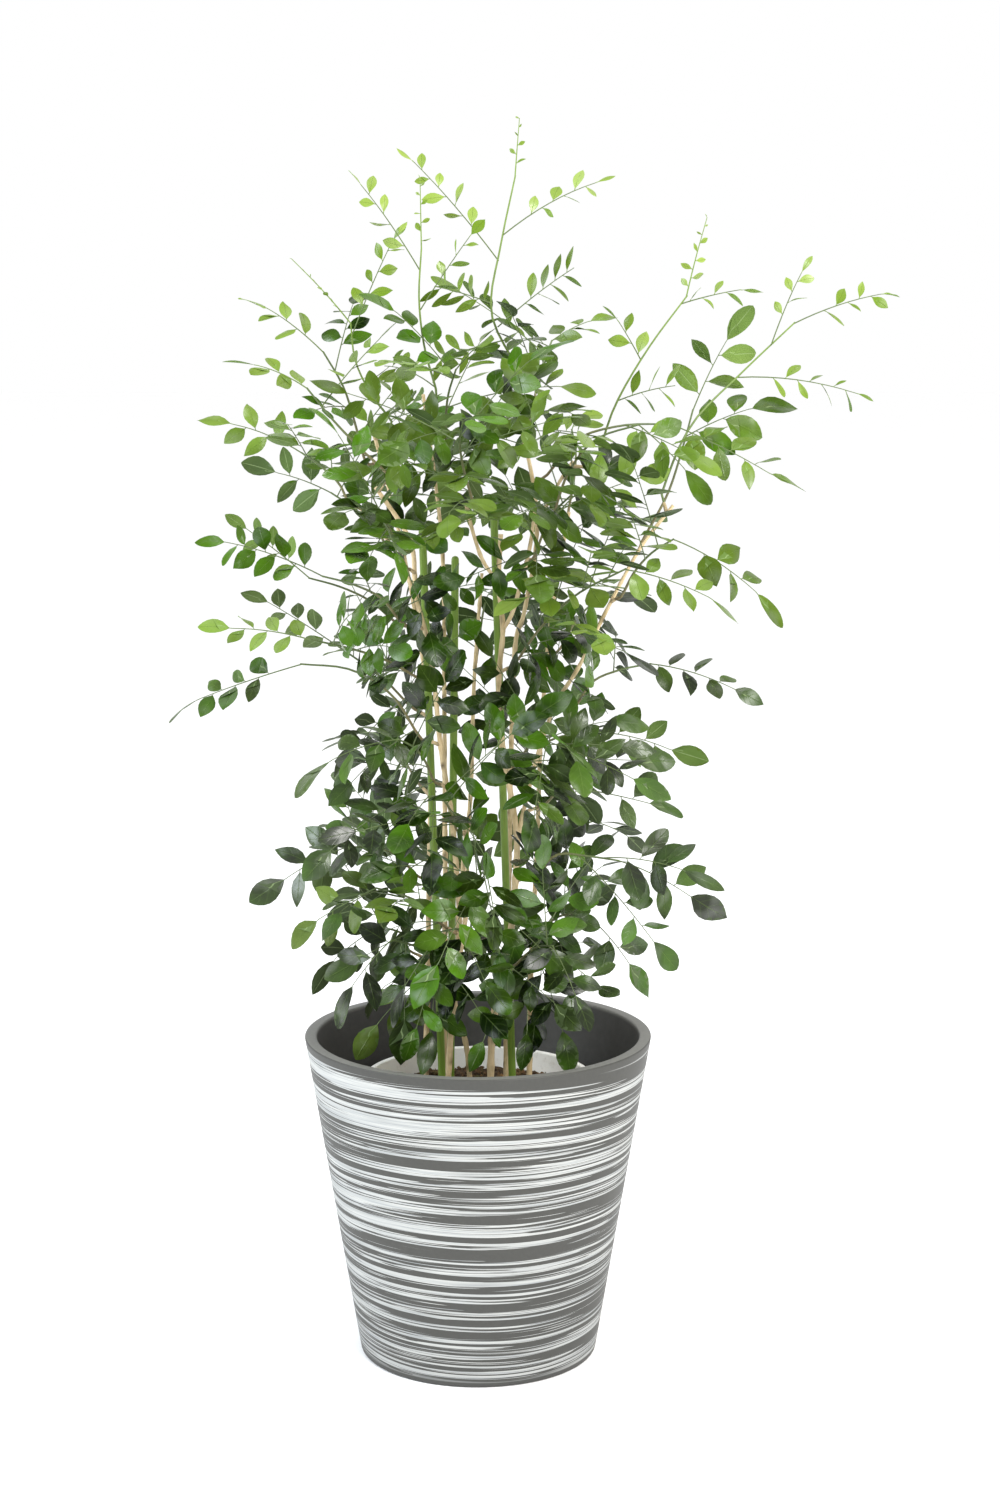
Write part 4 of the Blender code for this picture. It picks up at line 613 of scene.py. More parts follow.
# Where on its twig a young shoot's lowest leaves root, which are grown already: their age, their
# leaflets' length and half width in metres, their angle, their turn, its spread and their stray.
GROWN_SHARE, GROWN_AGE, GROWN_LENGTH, GROWN_HALF = 0.45, 0.36, 0.0265, 0.0050
GROWN_LEAN, GROWN_TURN, GROWN_TURN_SPREAD, GROWN_STRAY = 58.0, 0.95, 0.30, 0.1
# The way that young leaves face.
YOUNG_FACE = (0.0, -0.90, 0.44)
# How flat the leaves lie, as a share of the way to level, in the lower and in the upper bush, and
# the heights between which that changes.
LYING_LOW, LYING_HIGH, LYING_HEIGHTS = (0.0, 0.35), (0.1, 0.95), (0.72, 0.92)
# How much larger the leaflets of an old leaf may be.
OLD_SIZE_RANGE = (0.94, 1.18)

# Radii in metres: leaf stalks and twigs at their two ends, leaflet stalks, and the spurs' ends, and
# the share of a young shoot's twig.
FINE_STALK_RADIUS, FINE_STALK_TIP, LEAFLET_STALK_RADIUS = 0.00070, 0.00040, 0.00040
FINE_TWIG_RADIUS, FINE_TWIG_TIP, YOUNG_TWIG = 0.0015, 0.0009, 0.85
FINE_SPUR_RADII = (0.0021, 0.0016)
# The sides of the rods; every how many of its points a stalk has a ring, the steps of a twig, the
# places on it that are tried as a leaf's root, and how far leaflets and twigs are set in at their
# foot.
LEAFLET_STALK_SIDES, STALK_SIDES, TWIG_SIDES = 4, 5, 7
SPUR_SIDES, CANE_SIDES, STAKE_SIDES = 8, 10, 16
STALK_RINGS, FINE_TWIG_STEPS, TWIG_SHARES = 3, 14, 41
LEAFLET_SET_IN, TWIG_SET_IN = 0.0003, 0.004
# How old the skin of stems looks: twigs and young twigs from foot to tip, leaf stalks as least and
# gain with their leaf's age, leaflet stalks against their leaflet, and how leaflets of a leaf vary.
TWIG_AGES, YOUNG_TWIG_AGES, STALK_AGE, STALK_AGING = (0.95, 0.35), (0.30, 0.0), 0.12, 0.4
LEAFLET_STALK_AGING, AGE_SPREAD = 0.45, 0.05

# Canes: the spacing of their rings, the range of that of their nodes and the half length of a
# node's swelling and scar in metres, the swelling and the unevenness as shares of the radius, the
# scar's half width in sides of the cane, the fewest steps of a stem, how far out along its start a
# spur's bend is drawn, and how dark its scars are. STAKE_RINGS is the rings of a stake's rod.
CANE_STEP, NODE_RANGE, NODE_LENGTH, SCAR_LENGTH = 0.0045, (0.022, 0.042), 0.0035, 0.0028
NODE_SWELL, CANE_UNEVEN, SCAR_WIDTH, CANE_FEWEST, SPUR_BEND = 0.17, 0.05, 1.4, 8, 0.007
STAKE_RINGS = 30
SPUR_SCARS = (0.5, 0.5, 0.2, 0.1, 0.3)

# Where the growth is younger than round it: places as (x, z, radius, age), seen from the front
# and in metres. The four wide patches on the sides are partly painted light: they make the side
# fronds fresher and lighter. Then the share of the radius inside which the age is the patch's and
# that over which it fades, and the heights over which the leaves turn from old to young.
YOUNG_AND_LIT_PATCHES = ((0.097, 0.780, 0.050, 0.25), (-0.061, 0.508, 0.028, 0.25),
                 (0.040, 0.790, 0.026, 0.25), (-0.115, 0.715, 0.030, 0.25),
                 (-0.205, 1.000, 0.040, 0.25), (0.115, 0.930, 0.024, 0.25),
                 (0.215, 0.880, 0.030, 0.25), (-0.240, 0.830, 0.120, 0.52),
                 (-0.240, 0.690, 0.120, 0.52), (0.275, 0.790, 0.110, 0.55),
                 (0.290, 0.900, 0.110, 0.50))
PATCH_FULL, PATCH_FADE = 0.6, 0.5
OLD_HEIGHT, YOUNG_HEIGHT = 0.82, 1.26

# The middle tint of the leaves low down and high up, and the heights between which it changes;
# this is painted shade that darkens the low leaves and painted light that lightens the high ones.
# Each leaflet's tint about its leaf's, each leaf's about the middle one; how much lighter the
# outer leaves are, painted light that leaves the inner ones in painted shade, and the distances
# from the middle between which that changes; how often a leaf is fresh among older ones below
# OLD_HEIGHT and above it, or old among fresh ones, and their ages.
LIT_AND_SHADED_TINTS, TINT_HEIGHTS, LEAFLET_TINT, LEAF_TINT = (0.12, 0.44), (0.50, 0.84), 0.20, 0.26
OUTER_PAINTED_LIGHT, OUTER_LIGHT_REACHES = 0.10, (0.06, 0.16)
FRESH_LOW, FRESH_HIGH, FRESH_AGE, OLD_AMONG, OLD_AGE = 0.03, 0.18, 0.55, 0.30, 0.95

FINE_SEED = 5

# How fine each noise is, in grains per metre, with the size of its largest grains behind it. The
# long ones are given across and along the piece.
LEAF_CLOUD, LEAF_DRIFT = 34.0, 9.0  # clouds of tint on leaves, 29 mm, and their olive drift, 110 mm
LEAF_SWELL, LEAF_GRAIN = 42.0, 48.0  # swellings of a leaf's wax, 24 mm, and its gloss, 21 mm
STEM_CLOUD, BARK_PATCH = 160.0, 55.0  # mottle of green stems, 6 mm, and patches of bark, 18 mm
BARK_STREAK = (420.0, 420.0, 34.0)  # streaks of bark, 2.4 by 29 mm
STONE_MOTTLE, STONE_INSIDE = 260.0, 120.0  # mottle of the planter, 4 mm, and inside it, 8 mm
BRUSH_SLANT, DUST = 3.2, 70.0  # lean of the brushed bands, 310 mm, and dust on plastic, 14 mm
SOIL_CRUMB, SOIL_MOSS = 420.0, 38.0  # grain of the soil, 2.4 mm, and its moss, 26 mm
COAT_LINE = (700.0, 700.0, 22.0)  # drawn lines of a stake's coat, 1.4 by 45 mm

# Leaves: the olive of old ones, and the grey of a painted sheen on low outer ones that stands for
# the glare on them. Ranges are where a change starts and where it is full, then its least and its
# most: the noise of the drift to olive, metres from the middle and metres of height for the painted
# sheen, the noise of gloss and of wax.
OLIVE, SHEEN_GREY, GLOW = "#5A5F30", "#6C6E64", "#8AA242"
CLOUD_SHARE, OLIVE_DRIFT = 1.1, (0.48, 0.68, 0.0, 0.35)
OUTER_SHEEN, LOW_SHEEN = (0.06, 0.15, 0.0, 0.20), (0.78, 0.60)
GLOSS, WAX = (0.30, 0.70, 0.18, 0.38), (0.46, 0.68, 0.05, 1.05)
# A leaflet's pairs of side veins and their slant; where vein and midrib start and where they are
# full, off their own middle; how much midrib and veins show above, and the midrib below; how far
# the midrib sinks and the veins rise above, against the wax's swellings, and below, against it.
VEINS, VEIN_SLANT, VEIN_EDGES, RIB_EDGES = 9.0, -0.55, (0.22, 0.0), (0.040, 0.006)
RIB_SHOWN, VEIN_SHOWN, RIB_UNDER, RIB_SUNK, VEIN_RAISED, VEIN_UNDER = 0.13, 0.06, 0.45, -0.14, 0.03, 0.3
# The light that comes through an old and a young leaf, seen from above and from below, and how
# much of it is the glow's own yellow-green.
LIT_ABOVE, LIT_BELOW, GLOW_SHARE = (0.06, 0.15), (0.07, 0.24), 0.55
# Stems: the ages over which green turns from young to old, and old green to wood.
GREEN_AGES, WOOD_AGES = (0.0, 0.4), (0.5, 1.0)
# Noise ranges as above: brown patches of bark, dust on plastic, moss on soil, light and dark in
# the paint, and worn paint; the heights over which painted shade darkens the planter's wall to its
# foot, and those over which its rim turns to the painted shade of the inside; the roughness of bare
# and of painted wall, and of clean and of dusty plastic; and the height of the mottle against that
# of the paint.
BARK_BROWN, DUSTY, MOSSY = (0.50, 0.72, 0.0, 0.65), (0.56, 0.80, 0.0, 0.55), (0.52, 0.68, 0.0, 0.5)
PAINT_LIGHT, PAINT_WORN, WALL_FOOT_SHADE = (0.34, 0.60), (0.52, 0.68, 0.0, 0.42), (0.20, 0.0, 0.0, 0.17)
INSIDE_SHADE_DEPTHS, WALL_ROUGH, PLASTIC_ROUGH = (0.0040, 0.0015), (0.52, 0.66), (0.30, 0.50)
MOTTLE_RELIEF = 0.25

# The brushed bands, as noise stretched round the pot: how far a band runs in height and round the
# pot, in metres, then the noise's detail, its roughness and where in it the bands lie.
STROKES = ((0.0043, 0.52, 1.0, 0.5, 0.0),  # broad strokes
           (0.0017, 0.32, 1.0, 0.5, 3.7),  # fine strokes
           (0.0030, 0.42, 1.0, 0.5, 5.9),  # bare lines in the strokes
           (0.0042, 0.42, 1.0, 0.5, 2.3),  # painted hairlines between them
           (0.011, 0.16, 2.0, 0.6, 7.7),  # thin paint
           (0.0008, 0.085, 3.0, 0.65, 8.1))  # marks of the bristles
# Where the paint begins to cover the body, and the half width of the edge, in units of noise, and
# how much fine strokes, bare lines, hairlines and bristles change that. The half width of a line is
# in units of noise too.
COVER_EDGE, COVER_SOFT, LINE_HALF = 0.797, 0.010, 0.050
FINE_COVER, BARE_LINE, PAINT_LINE, BRISTLE_COVER = 0.45, -0.16, 0.15, 0.05
# The unpainted edges: heights in metres where the paint starts and is full, below the rim and above
# the foot, how ragged they are, and how far a band leans.
BARE_RIM, BARE_FOOT, RAGGED, BAND_LEAN = (0.0045, 0.0058), (0.0090, 0.0125), 0.006, 0.016


def linear(colour):
    """An sRGB hex colour as linear RGBA: c / 12.92 up to 0.04045, else ((c + 0.055) / 1.055) to
    the power of 2.4."""
    parts = np.array([int(colour[k:k + 2], 16) / 255 for k in (1, 3, 5)])
    parts = np.where(parts <= 0.04045, parts / 12.92, ((parts + 0.055) / 1.055) ** 2.4)
    return (*parts.tolist(), 1.0)


# A node's values go to its first inputs, and its first output is used, apart from these. Every mix
# is one of colours.
INPUTS, OUTPUTS = {"Mix": (0, 6, 7)}, {"Mix": 2, "TexCoord": "Object", "Attribute": "Fac"}
SETTINGS = {"Mix": {"data_type": "RGBA"}}


def add_node(tree, kind, *values, **named):
    """A new node's output. values go to its inputs in order. A name with a capital is an input's,
    and any other one a setting's. A value is a number, a hex colour or another node's output."""
    made = tree.nodes.new("ShaderNode" + kind)
    given = dict(zip(INPUTS.get(kind, range(len(values))), values))
    for name, value in {**SETTINGS.get(kind, {}), **named}.items():
        if name[0].isupper():
            given[name.replace("_", " ")] = value
        else:
            setattr(made, name, value)
    for socket, value in given.items():
        if isinstance(value, bpy.types.NodeSocket):
            tree.links.new(value, made.inputs[socket])
        else:
            made.inputs[socket].default_value = linear(value) if isinstance(value, str) else value
    return made.outputs[OUTPUTS.get(kind, 0)] if made.outputs else None


def finish(name):
    """A material with an empty node tree, and what adds a node to it."""
    made = bpy.data.materials.new(name)
    made.use_nodes = True
    made.node_tree.nodes.clear()
    return made, functools.partial(add_node, made.node_tree)


def leaf_tones(add, dark, light, young, fresh):
    """The colour of a leaf side: from dark to light by each leaflet's tint and a soft cloud over
    it, and for young ones from the young colour to the fresh one, by the same shade. The tint
    holds painted shade low down and inside, and painted light high up and outside. Old leaves
    drift to olive in places, over a hand's breadth, and the low outer ones are mixed towards
    the grey of a painted sheen."""
    tint, age = (add("Attribute", attribute_name=name) for name in ("tint", "age"))
    place = add("TexCoord")
    cloud = add("TexNoise", place, Scale=LEAF_CLOUD, Detail=1.5, Roughness=0.5)
    cloud = add("Math", cloud, 0.5, operation="SUBTRACT")
    shade = add("Math", cloud, CLOUD_SHARE, tint, operation="MULTIPLY_ADD", use_clamp=True)
    drift = add("MapRange", add("TexNoise", place, Scale=LEAF_DRIFT, Detail=1.0), *OLIVE_DRIFT)
    old, drifted, new = (add("Mix", shade, first, second)
                         for first, second in ((dark, light), (dark, OLIVE), (young, fresh)))
    old = add("Mix", drift, old, drifted)
    # Painted sheen: the low outer leaves are mixed towards a grey that stands for the glare on them.
    x, _, z = add("SeparateXYZ", place).node.outputs
    outer = add("MapRange", add("Math", x, operation="ABSOLUTE"), *OUTER_SHEEN)
    dull = add("Math", outer, add("MapRange", z, *LOW_SHEEN), operation="MULTIPLY")
    return add("Mix", age, new, add("Mix", dull, old, SHEEN_GREY))


def leaf_lines(add):
    """Two patterns of the blade's own map, where x runs across and y from foot to tip: the
    midrib, and the side veins that leave it at a slant and don't show yet on young leaves."""
    x, y, _ = add("SeparateXYZ", add("UVMap", uv_map="leaf")).node.outputs
    off = add("Math", add("Math", x, 0.5, operation="SUBTRACT"), operation="ABSOLUTE")
    rib = add("MapRange", off, *RIB_EDGES, interpolation_type="SMOOTHSTEP")
    slanted = add("Math", off, VEIN_SLANT, y, operation="MULTIPLY_ADD")
    wave = add("Math", add("Math", slanted, VEINS, operation="MULTIPLY"), 1.0, operation="PINGPONG")
    age = add("Attribute", attribute_name="age")
    return rib, add("MapRange", wave, *VEIN_EDGES, 0.0, age, interpolation_type="SMOOTHSTEP")


def lit_through(add, skin, glow, relief, old, young):
    """The skin with some light let through it: more of it the younger the leaf."""
    age = add("Attribute", attribute_name="age")
    share = add("MapRange", age, 0.0, 1.0, young, old)
    add("OutputMaterial", add("MixShader", share, skin, add("BsdfTranslucent", glow, relief)))


def leaf_upper():
    """A living leaf's upper side: a smooth waxy skin over dark green tissue. It gives broad pale
    glints where it swells, and has a faint sunken midrib and faint side veins."""
    made, add = finish("orange jasmine leaf, waxy upper side")
    tone = leaf_tones(add, "#0A1702", "#426C0C", "#668226", "#90A650")
    rib, vein = leaf_lines(add)
    for line, shown, colour in ((rib, RIB_SHOWN, "#7D9A4C"), (vein, VEIN_SHOWN, "#7C9C4C")):
        tone = add("Mix", add("MapRange", line, 0.0, 1.0, 0.0, shown), tone, colour)
    place = add("TexCoord")
    swell = add("TexNoise", place, Scale=LEAF_SWELL, Detail=1.0)
    height = add("Math", rib, RIB_SUNK, swell, operation="MULTIPLY_ADD")
    height = add("Math", vein, VEIN_RAISED, height, operation="MULTIPLY_ADD")
    relief = add("Bump", Height=height, Strength=0.8, Distance=0.0034)
    grain = add("TexNoise", place, Scale=LEAF_GRAIN, Detail=1.0)
    skin = add("BsdfPrincipled", tone, IOR=1.45, Normal=relief,
               Roughness=add("MapRange", grain, *GLOSS),
               Specular_IOR_Level=add("MapRange", swell, *WAX))
    glow = add("Mix", GLOW_SHARE, tone, GLOW)
    lit_through(add, skin, glow, relief, *LIT_ABOVE)
    return made


def leaf_under():
    """The underside of the leaf: no wax, so it is paler, greyer and dull, with a raised midrib."""
    made, add = finish("orange jasmine leaf, dull underside")
    tone = leaf_tones(add, "#2C3E18", "#5A7240", "#6A8C34", "#8EAE4C")
    rib, vein = leaf_lines(add)
    tone = add("Mix", add("MapRange", rib, 0.0, 1.0, 0.0, RIB_UNDER), tone, "#9DB27C")
    height = add("Math", vein, VEIN_UNDER, rib, operation="MULTIPLY_ADD")
    relief = add("Bump", Height=height, Strength=0.5, Distance=0.0004)
    skin = add("BsdfPrincipled", tone, Roughness=0.52, IOR=1.45, Normal=relief,
               Specular_IOR_Level=0.25)
    lit_through(add, skin, tone, relief, *LIT_BELOW)
    return made


def green_stem():
    """The skin of shoots and leaf stalks: yellow-green where it is young, a dull dark green on
    leaf stalks, and a brownish grey where a twig turns to wood."""
    made, add = finish("young jasmine stem, green skin")
    age = add("Attribute", attribute_name="age")
    cloud = add("TexNoise", add("TexCoord"), Scale=STEM_CLOUD, Detail=3.0)
    young, green, wood = (add("Mix", cloud, *colours) for colours in (
        ("#526C26", "#7E9644"), ("#3A4A26", "#5F7040"), ("#5A4C34", "#8F7D58")))
    tone = add("Mix", add("MapRange", age, *GREEN_AGES), young, green)
    tone = add("Mix", add("MapRange", age, *WOOD_AGES), tone, wood)
    relief = add("Bump", Height=cloud, Strength=0.4, Distance=0.0003)
    add("OutputMaterial", add("BsdfPrincipled", tone, Roughness=0.45, IOR=1.45, Normal=relief))
    return made


def pale_bark():
    """Thin smooth bark of a young woody stem: tan, with long pale and brown streaks along it and
    dark corky marks where buds and leaves were."""
    made, add = finish("orange jasmine cane, thin pale bark")
    place = add("TexCoord")
    streak = add("TexNoise", add("Mapping", place, Scale=BARK_STREAK), Scale=1.0, Detail=4.0,
                 Roughness=0.6)
    cloud = add("TexNoise", place, Scale=BARK_PATCH, Detail=3.0)
    tone = add("Mix", streak, "#B89A68", "#EFDDB6")
    for share, colour in ((add("MapRange", cloud, *BARK_BROWN), "#8C7A4C"),
                          (add("Attribute", attribute_name="scar"), "#4A3A26")):
        tone = add("Mix", share, tone, colour)
    relief = add("Bump", Height=streak, Strength=0.5, Distance=0.0006)
    add("OutputMaterial", add("BsdfPrincipled", tone, Roughness=0.62, IOR=1.45, Normal=relief))
    return made


def stroke(add, place, height, length, detail, roughness, shift):
    """Noise that is stretched round the pot, so that it reads as strokes of a brush."""
    drawn = add("Mapping", place, Location=(shift,) * 3, Scale=(1 / length, 1 / length, 1 / height))
    return add("TexNoise", drawn, Scale=1.0, Detail=detail, Roughness=roughness)


def stoneware(add, dark, light, scale):
    """The mottled tone of the unpainted body."""
    cloud = add("TexNoise", add("TexCoord"), Scale=scale, Detail=5.0, Roughness=0.6)
    return add("Mix", cloud, dark, light), cloud


def brushed_paint():
    """A matt grey body with white paint dragged round it by a dry brush: long level bands of
    uneven width, thin lines between them, broken bristle marks at their edges, and a bare edge
    at the rim and at the foot. Painted shade darkens the wall towards its foot."""
    made, add = finish("planter wall, dry-brushed white paint on grey stoneware")
    place = add("TexCoord")
    lean = add("TexNoise", place, Scale=BRUSH_SLANT, Detail=1.0)
    lean = add("Math", lean, BAND_LEAN, -BAND_LEAN / 2, operation="MULTIPLY_ADD")
    x, y, z = add("SeparateXYZ", place).node.outputs
    leaning = add("CombineXYZ", x, y, add("Math", z, lean, operation="ADD"))
    broad, fine, line, hair, worn, bristle = (stroke(add, leaning, *sizes) for sizes in STROKES)
    cover = add("Math", fine, FINE_COVER, broad, operation="MULTIPLY_ADD")
    for lines, amount in ((line, BARE_LINE), (hair, PAINT_LINE)):
        off = add("Math", add("Math", lines, 0.5, operation="SUBTRACT"), operation="ABSOLUTE")
        thin = add("MapRange", off, LINE_HALF, 0.0, interpolation_type="SMOOTHSTEP")
        cover = add("Math", thin, amount, cover, operation="MULTIPLY_ADD")
    cover = add("Math", bristle, BRISTLE_COVER, cover, operation="MULTIPLY_ADD")
    painted = add("MapRange", cover, COVER_EDGE - COVER_SOFT, COVER_EDGE + COVER_SOFT,
                  interpolation_type="SMOOTHSTEP")
    ragged = add("Math", fine, RAGGED, z, operation="MULTIPLY_ADD")
    for ends in ([PLANTER_HEIGHT - depth for depth in BARE_RIM], BARE_FOOT):
        painted = add("Math", painted, add("MapRange", ragged, *ends), operation="MULTIPLY")
    body, cloud = stoneware(add, "#32322F", "#3F3F3B", STONE_MOTTLE)
    paint = add("Mix", add("MapRange", bristle, *PAINT_LIGHT), "#919597", "#B7B8B5")
    thin = add("MapRange", worn, *PAINT_WORN)
    paint = add("Mix", thin, paint, "#75797A")
    tone = add("Mix", painted, body, paint)
    # Painted shade: the wall is mixed towards near black towards its foot.
    low = add("MapRange", z, *WALL_FOOT_SHADE)
    tone = add("Mix", low, tone, "#20201E")
    height = add("Math", cloud, MOTTLE_RELIEF, painted, operation="MULTIPLY_ADD")
    relief = add("Bump", Height=height, Strength=0.35, Distance=0.0004)
    rough = add("MapRange", painted, 0.0, 1.0, *WALL_ROUGH)
    add("OutputMaterial", add("BsdfPrincipled", tone, Roughness=rough, IOR=1.5, Normal=relief))
    return made


def bare_stoneware():
    """The unpainted body of the planter: cast, rubbed smooth, mid grey on the rim, with a fine
    mottle. Painted shade makes it darker inside."""
    made, add = finish("planter rim and inside, bare grey stoneware")
    _, _, z = add("SeparateXYZ", add("TexCoord")).node.outputs
    body, cloud = stoneware(add, "#5A5A56", "#72726D", STONE_MOTTLE)
    # Painted shade: the inside takes a darker copy of the stoneware tone.
    shaded_tone, _ = stoneware(add, "#2F2F2C", "#454441", STONE_INSIDE)
    inside = add("MapRange", z, *[PLANTER_HEIGHT - depth for depth in INSIDE_SHADE_DEPTHS], 1.0, 0.0)
    tone = add("Mix", inside, body, shaded_tone)
    relief = add("Bump", Height=cloud, Strength=0.3, Distance=0.0004)
    add("OutputMaterial", add("BsdfPrincipled", tone, Roughness=0.5, IOR=1.5, Normal=relief))
    return made


def white_plastic():
    """Thin injection-moulded polypropylene: white, slightly glossy, dusted with soil in places."""
    made, add = finish("nursery pot, white moulded polypropylene")
    dust = add("TexNoise", add("TexCoord"), Scale=DUST, Detail=6.0, Roughness=0.7)
    dusty = add("MapRange", dust, *DUSTY)
    tone = add("Mix", dusty, "#F2F1EC", "#A39A86")
    rough = add("MapRange", dust, 0.0, 1.0, *PLASTIC_ROUGH)
    add("OutputMaterial", add("BsdfPrincipled", tone, Roughness=rough, IOR=1.49))
    return made


def potting_mix():
    """Moist peat and composted bark: dark brown crumbs with lighter fibres and a little moss."""
    made, add = finish("potting mix, peat and bark")
    place = add("TexCoord")
    crumb = add("TexNoise", place, Scale=SOIL_CRUMB, Detail=6.0, Roughness=0.7)
    moss = add("TexNoise", place, Scale=SOIL_MOSS, Detail=3.0)
    tone = add("Mix", crumb, "#1E160E", "#5A432C")
    for share, colour in ((add("MapRange", moss, *MOSSY), "#5E6431"),
                          (add("Attribute", attribute_name="tint"), "#8A6B45")):
        tone = add("Mix", share, tone, colour)
    relief = add("Bump", Height=crumb, Strength=0.8, Distance=0.0015)
    add("OutputMaterial", add("BsdfPrincipled", tone, Roughness=0.92, IOR=1.4, Normal=relief))
    return made


def coated_stake():
    """A steel stake in a drawn green polyethylene coat: smooth, slightly glossy, with fine lines
    along it and pale scuffs."""
    made, add = finish("support stake, green polyethylene coat")
    drawn = add("Mapping", add("TexCoord"), Scale=COAT_LINE)
    streak = add("TexNoise", drawn, Scale=1.0, Detail=3.0)
    tone = add("Mix", streak, "#4C6B22", "#86A23C")
    relief = add("Bump", Height=streak, Strength=0.3, Distance=0.0003)
    add("OutputMaterial", add("BsdfPrincipled", tone, Roughness=0.38, IOR=1.5, Normal=relief))
    return made



class Skin:
    """Corners and faces gathered for one piece: each corner's place on its leaf and its marks,
    and each face's finish."""

    def __init__(self):
        self.points, self.faces, self.finishes, self.spots, self.count = [], [], [], [], 0
        self.marks = {"tint": [], "age": [], "scar": []}

    def add(self, points, groups, look=0, spots=None, **marks):
        """Each group is a face or an array of faces, by the numbers of these points. look is the
        finish of all of them, or a row with each group's."""
        points = np.asarray(points).reshape(-1, 3)
        many = len(points)
        for group, finish in zip(groups, np.broadcast_to(look, len(groups)).tolist()):
            rows = np.atleast_2d(group) + self.count
            self.faces += rows.tolist()
            self.finishes += [finish] * len(rows)
        self.points.append(points)
        self.spots.append(np.full((many, 2), 0.5) if spots is None else spots)
        for name, kept in self.marks.items():
            kept.append(np.broadcast_to(np.asarray(marks.get(name, 0.0), float), many))
        self.count += many

    def piece(self, name, finishes, sharp=50):
        """The gathered skin as an object whose place is in its mesh."""
        mesh = bpy.data.meshes.new(name)
        mesh.from_pydata(np.concatenate(self.points).tolist(), [], self.faces)
        for look in finishes:
            mesh.materials.append(look)
        mesh.polygons.foreach_set("material_index", self.finishes)
        corners = np.empty(len(mesh.loops), np.int32)
        mesh.loops.foreach_get("vertex_index", corners)
        spots = np.concatenate(self.spots)
        mesh.uv_layers.new(name="leaf").data.foreach_set("uv", spots[corners].ravel())
        for label, kept in self.marks.items():
            values = mesh.attributes.new(label, "FLOAT", "POINT")
            values.data.foreach_set("value", np.concatenate(kept))
        mesh.shade_smooth()
        mesh.set_sharp_from_angle(angle=math.radians(sharp))
        mesh.validate()
        return placed(name, mesh)


def placed(name, data):
    """A new object of the scene."""
    made = bpy.data.objects.new(name, data)
    bpy.context.scene.collection.objects.link(made)
    return made


def dress(piece, slot, *nodes):
    """The piece moves with the plant and stands for its nodes. Its slot is not used."""
    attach(piece, "root")
    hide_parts(*nodes)


def blade_grid():
    """The corners of a closed thin blade as (place, across, side), with side 1 on the upper skin,
    -1 on the underside and 0 on the edge that they share, and the faces of both skins. Foot and
    tip are one corner each.
    It has a known flaw, which is left as it is because the shapes are settled: one dictionary holds
    both kinds of key, and near the foot two of them clash. So a blade lacks the first corner of its
    left edge, and on its underside the first corner of the right edge is taken from the left one,
    further up."""
    rows, columns = len(BLADE_PLACES), len(BLADE_ACROSS)
    corners, number = [], {}
    for side in (1, -1):
        for j in range(rows):
            for i in range(columns):
                pole = j in (0, rows - 1)
                edge = pole or i in (0, columns - 1)
                key = (j, 0 if pole else i, 0 if edge else side)
                if key not in number:
                    number[key] = len(corners)
                    corners.append((BLADE_PLACES[j], 0.0 if pole else BLADE_ACROSS[i],
                                    0 if edge else side))
                number[(side, j, i)] = number[key]
    skins = {1: [], -1: []}
    for side in (1, -1):
        for j in range(rows - 1):
            for i in range(columns - 1):
                quad = [number[(side, j, i)], number[(side, j, i + 1)],
                        number[(side, j + 1, i + 1)], number[(side, j + 1, i)]]
                face = list(dict.fromkeys(quad))
                skins[side].append(face if side == 1 else face[::-1])
    return np.array(corners), skins


GRID, SKINS = blade_grid()


def outline(place, foot, tip):
    """Half width of a leaflet at a place, as a share of its widest: the place to the foot's power
    times what is left of it to the tip's, over the greatest value of that product."""
    widest = foot / (foot + tip)
    most = widest ** foot * (1 - widest) ** tip
    return place ** foot * (1 - place) ** tip / most


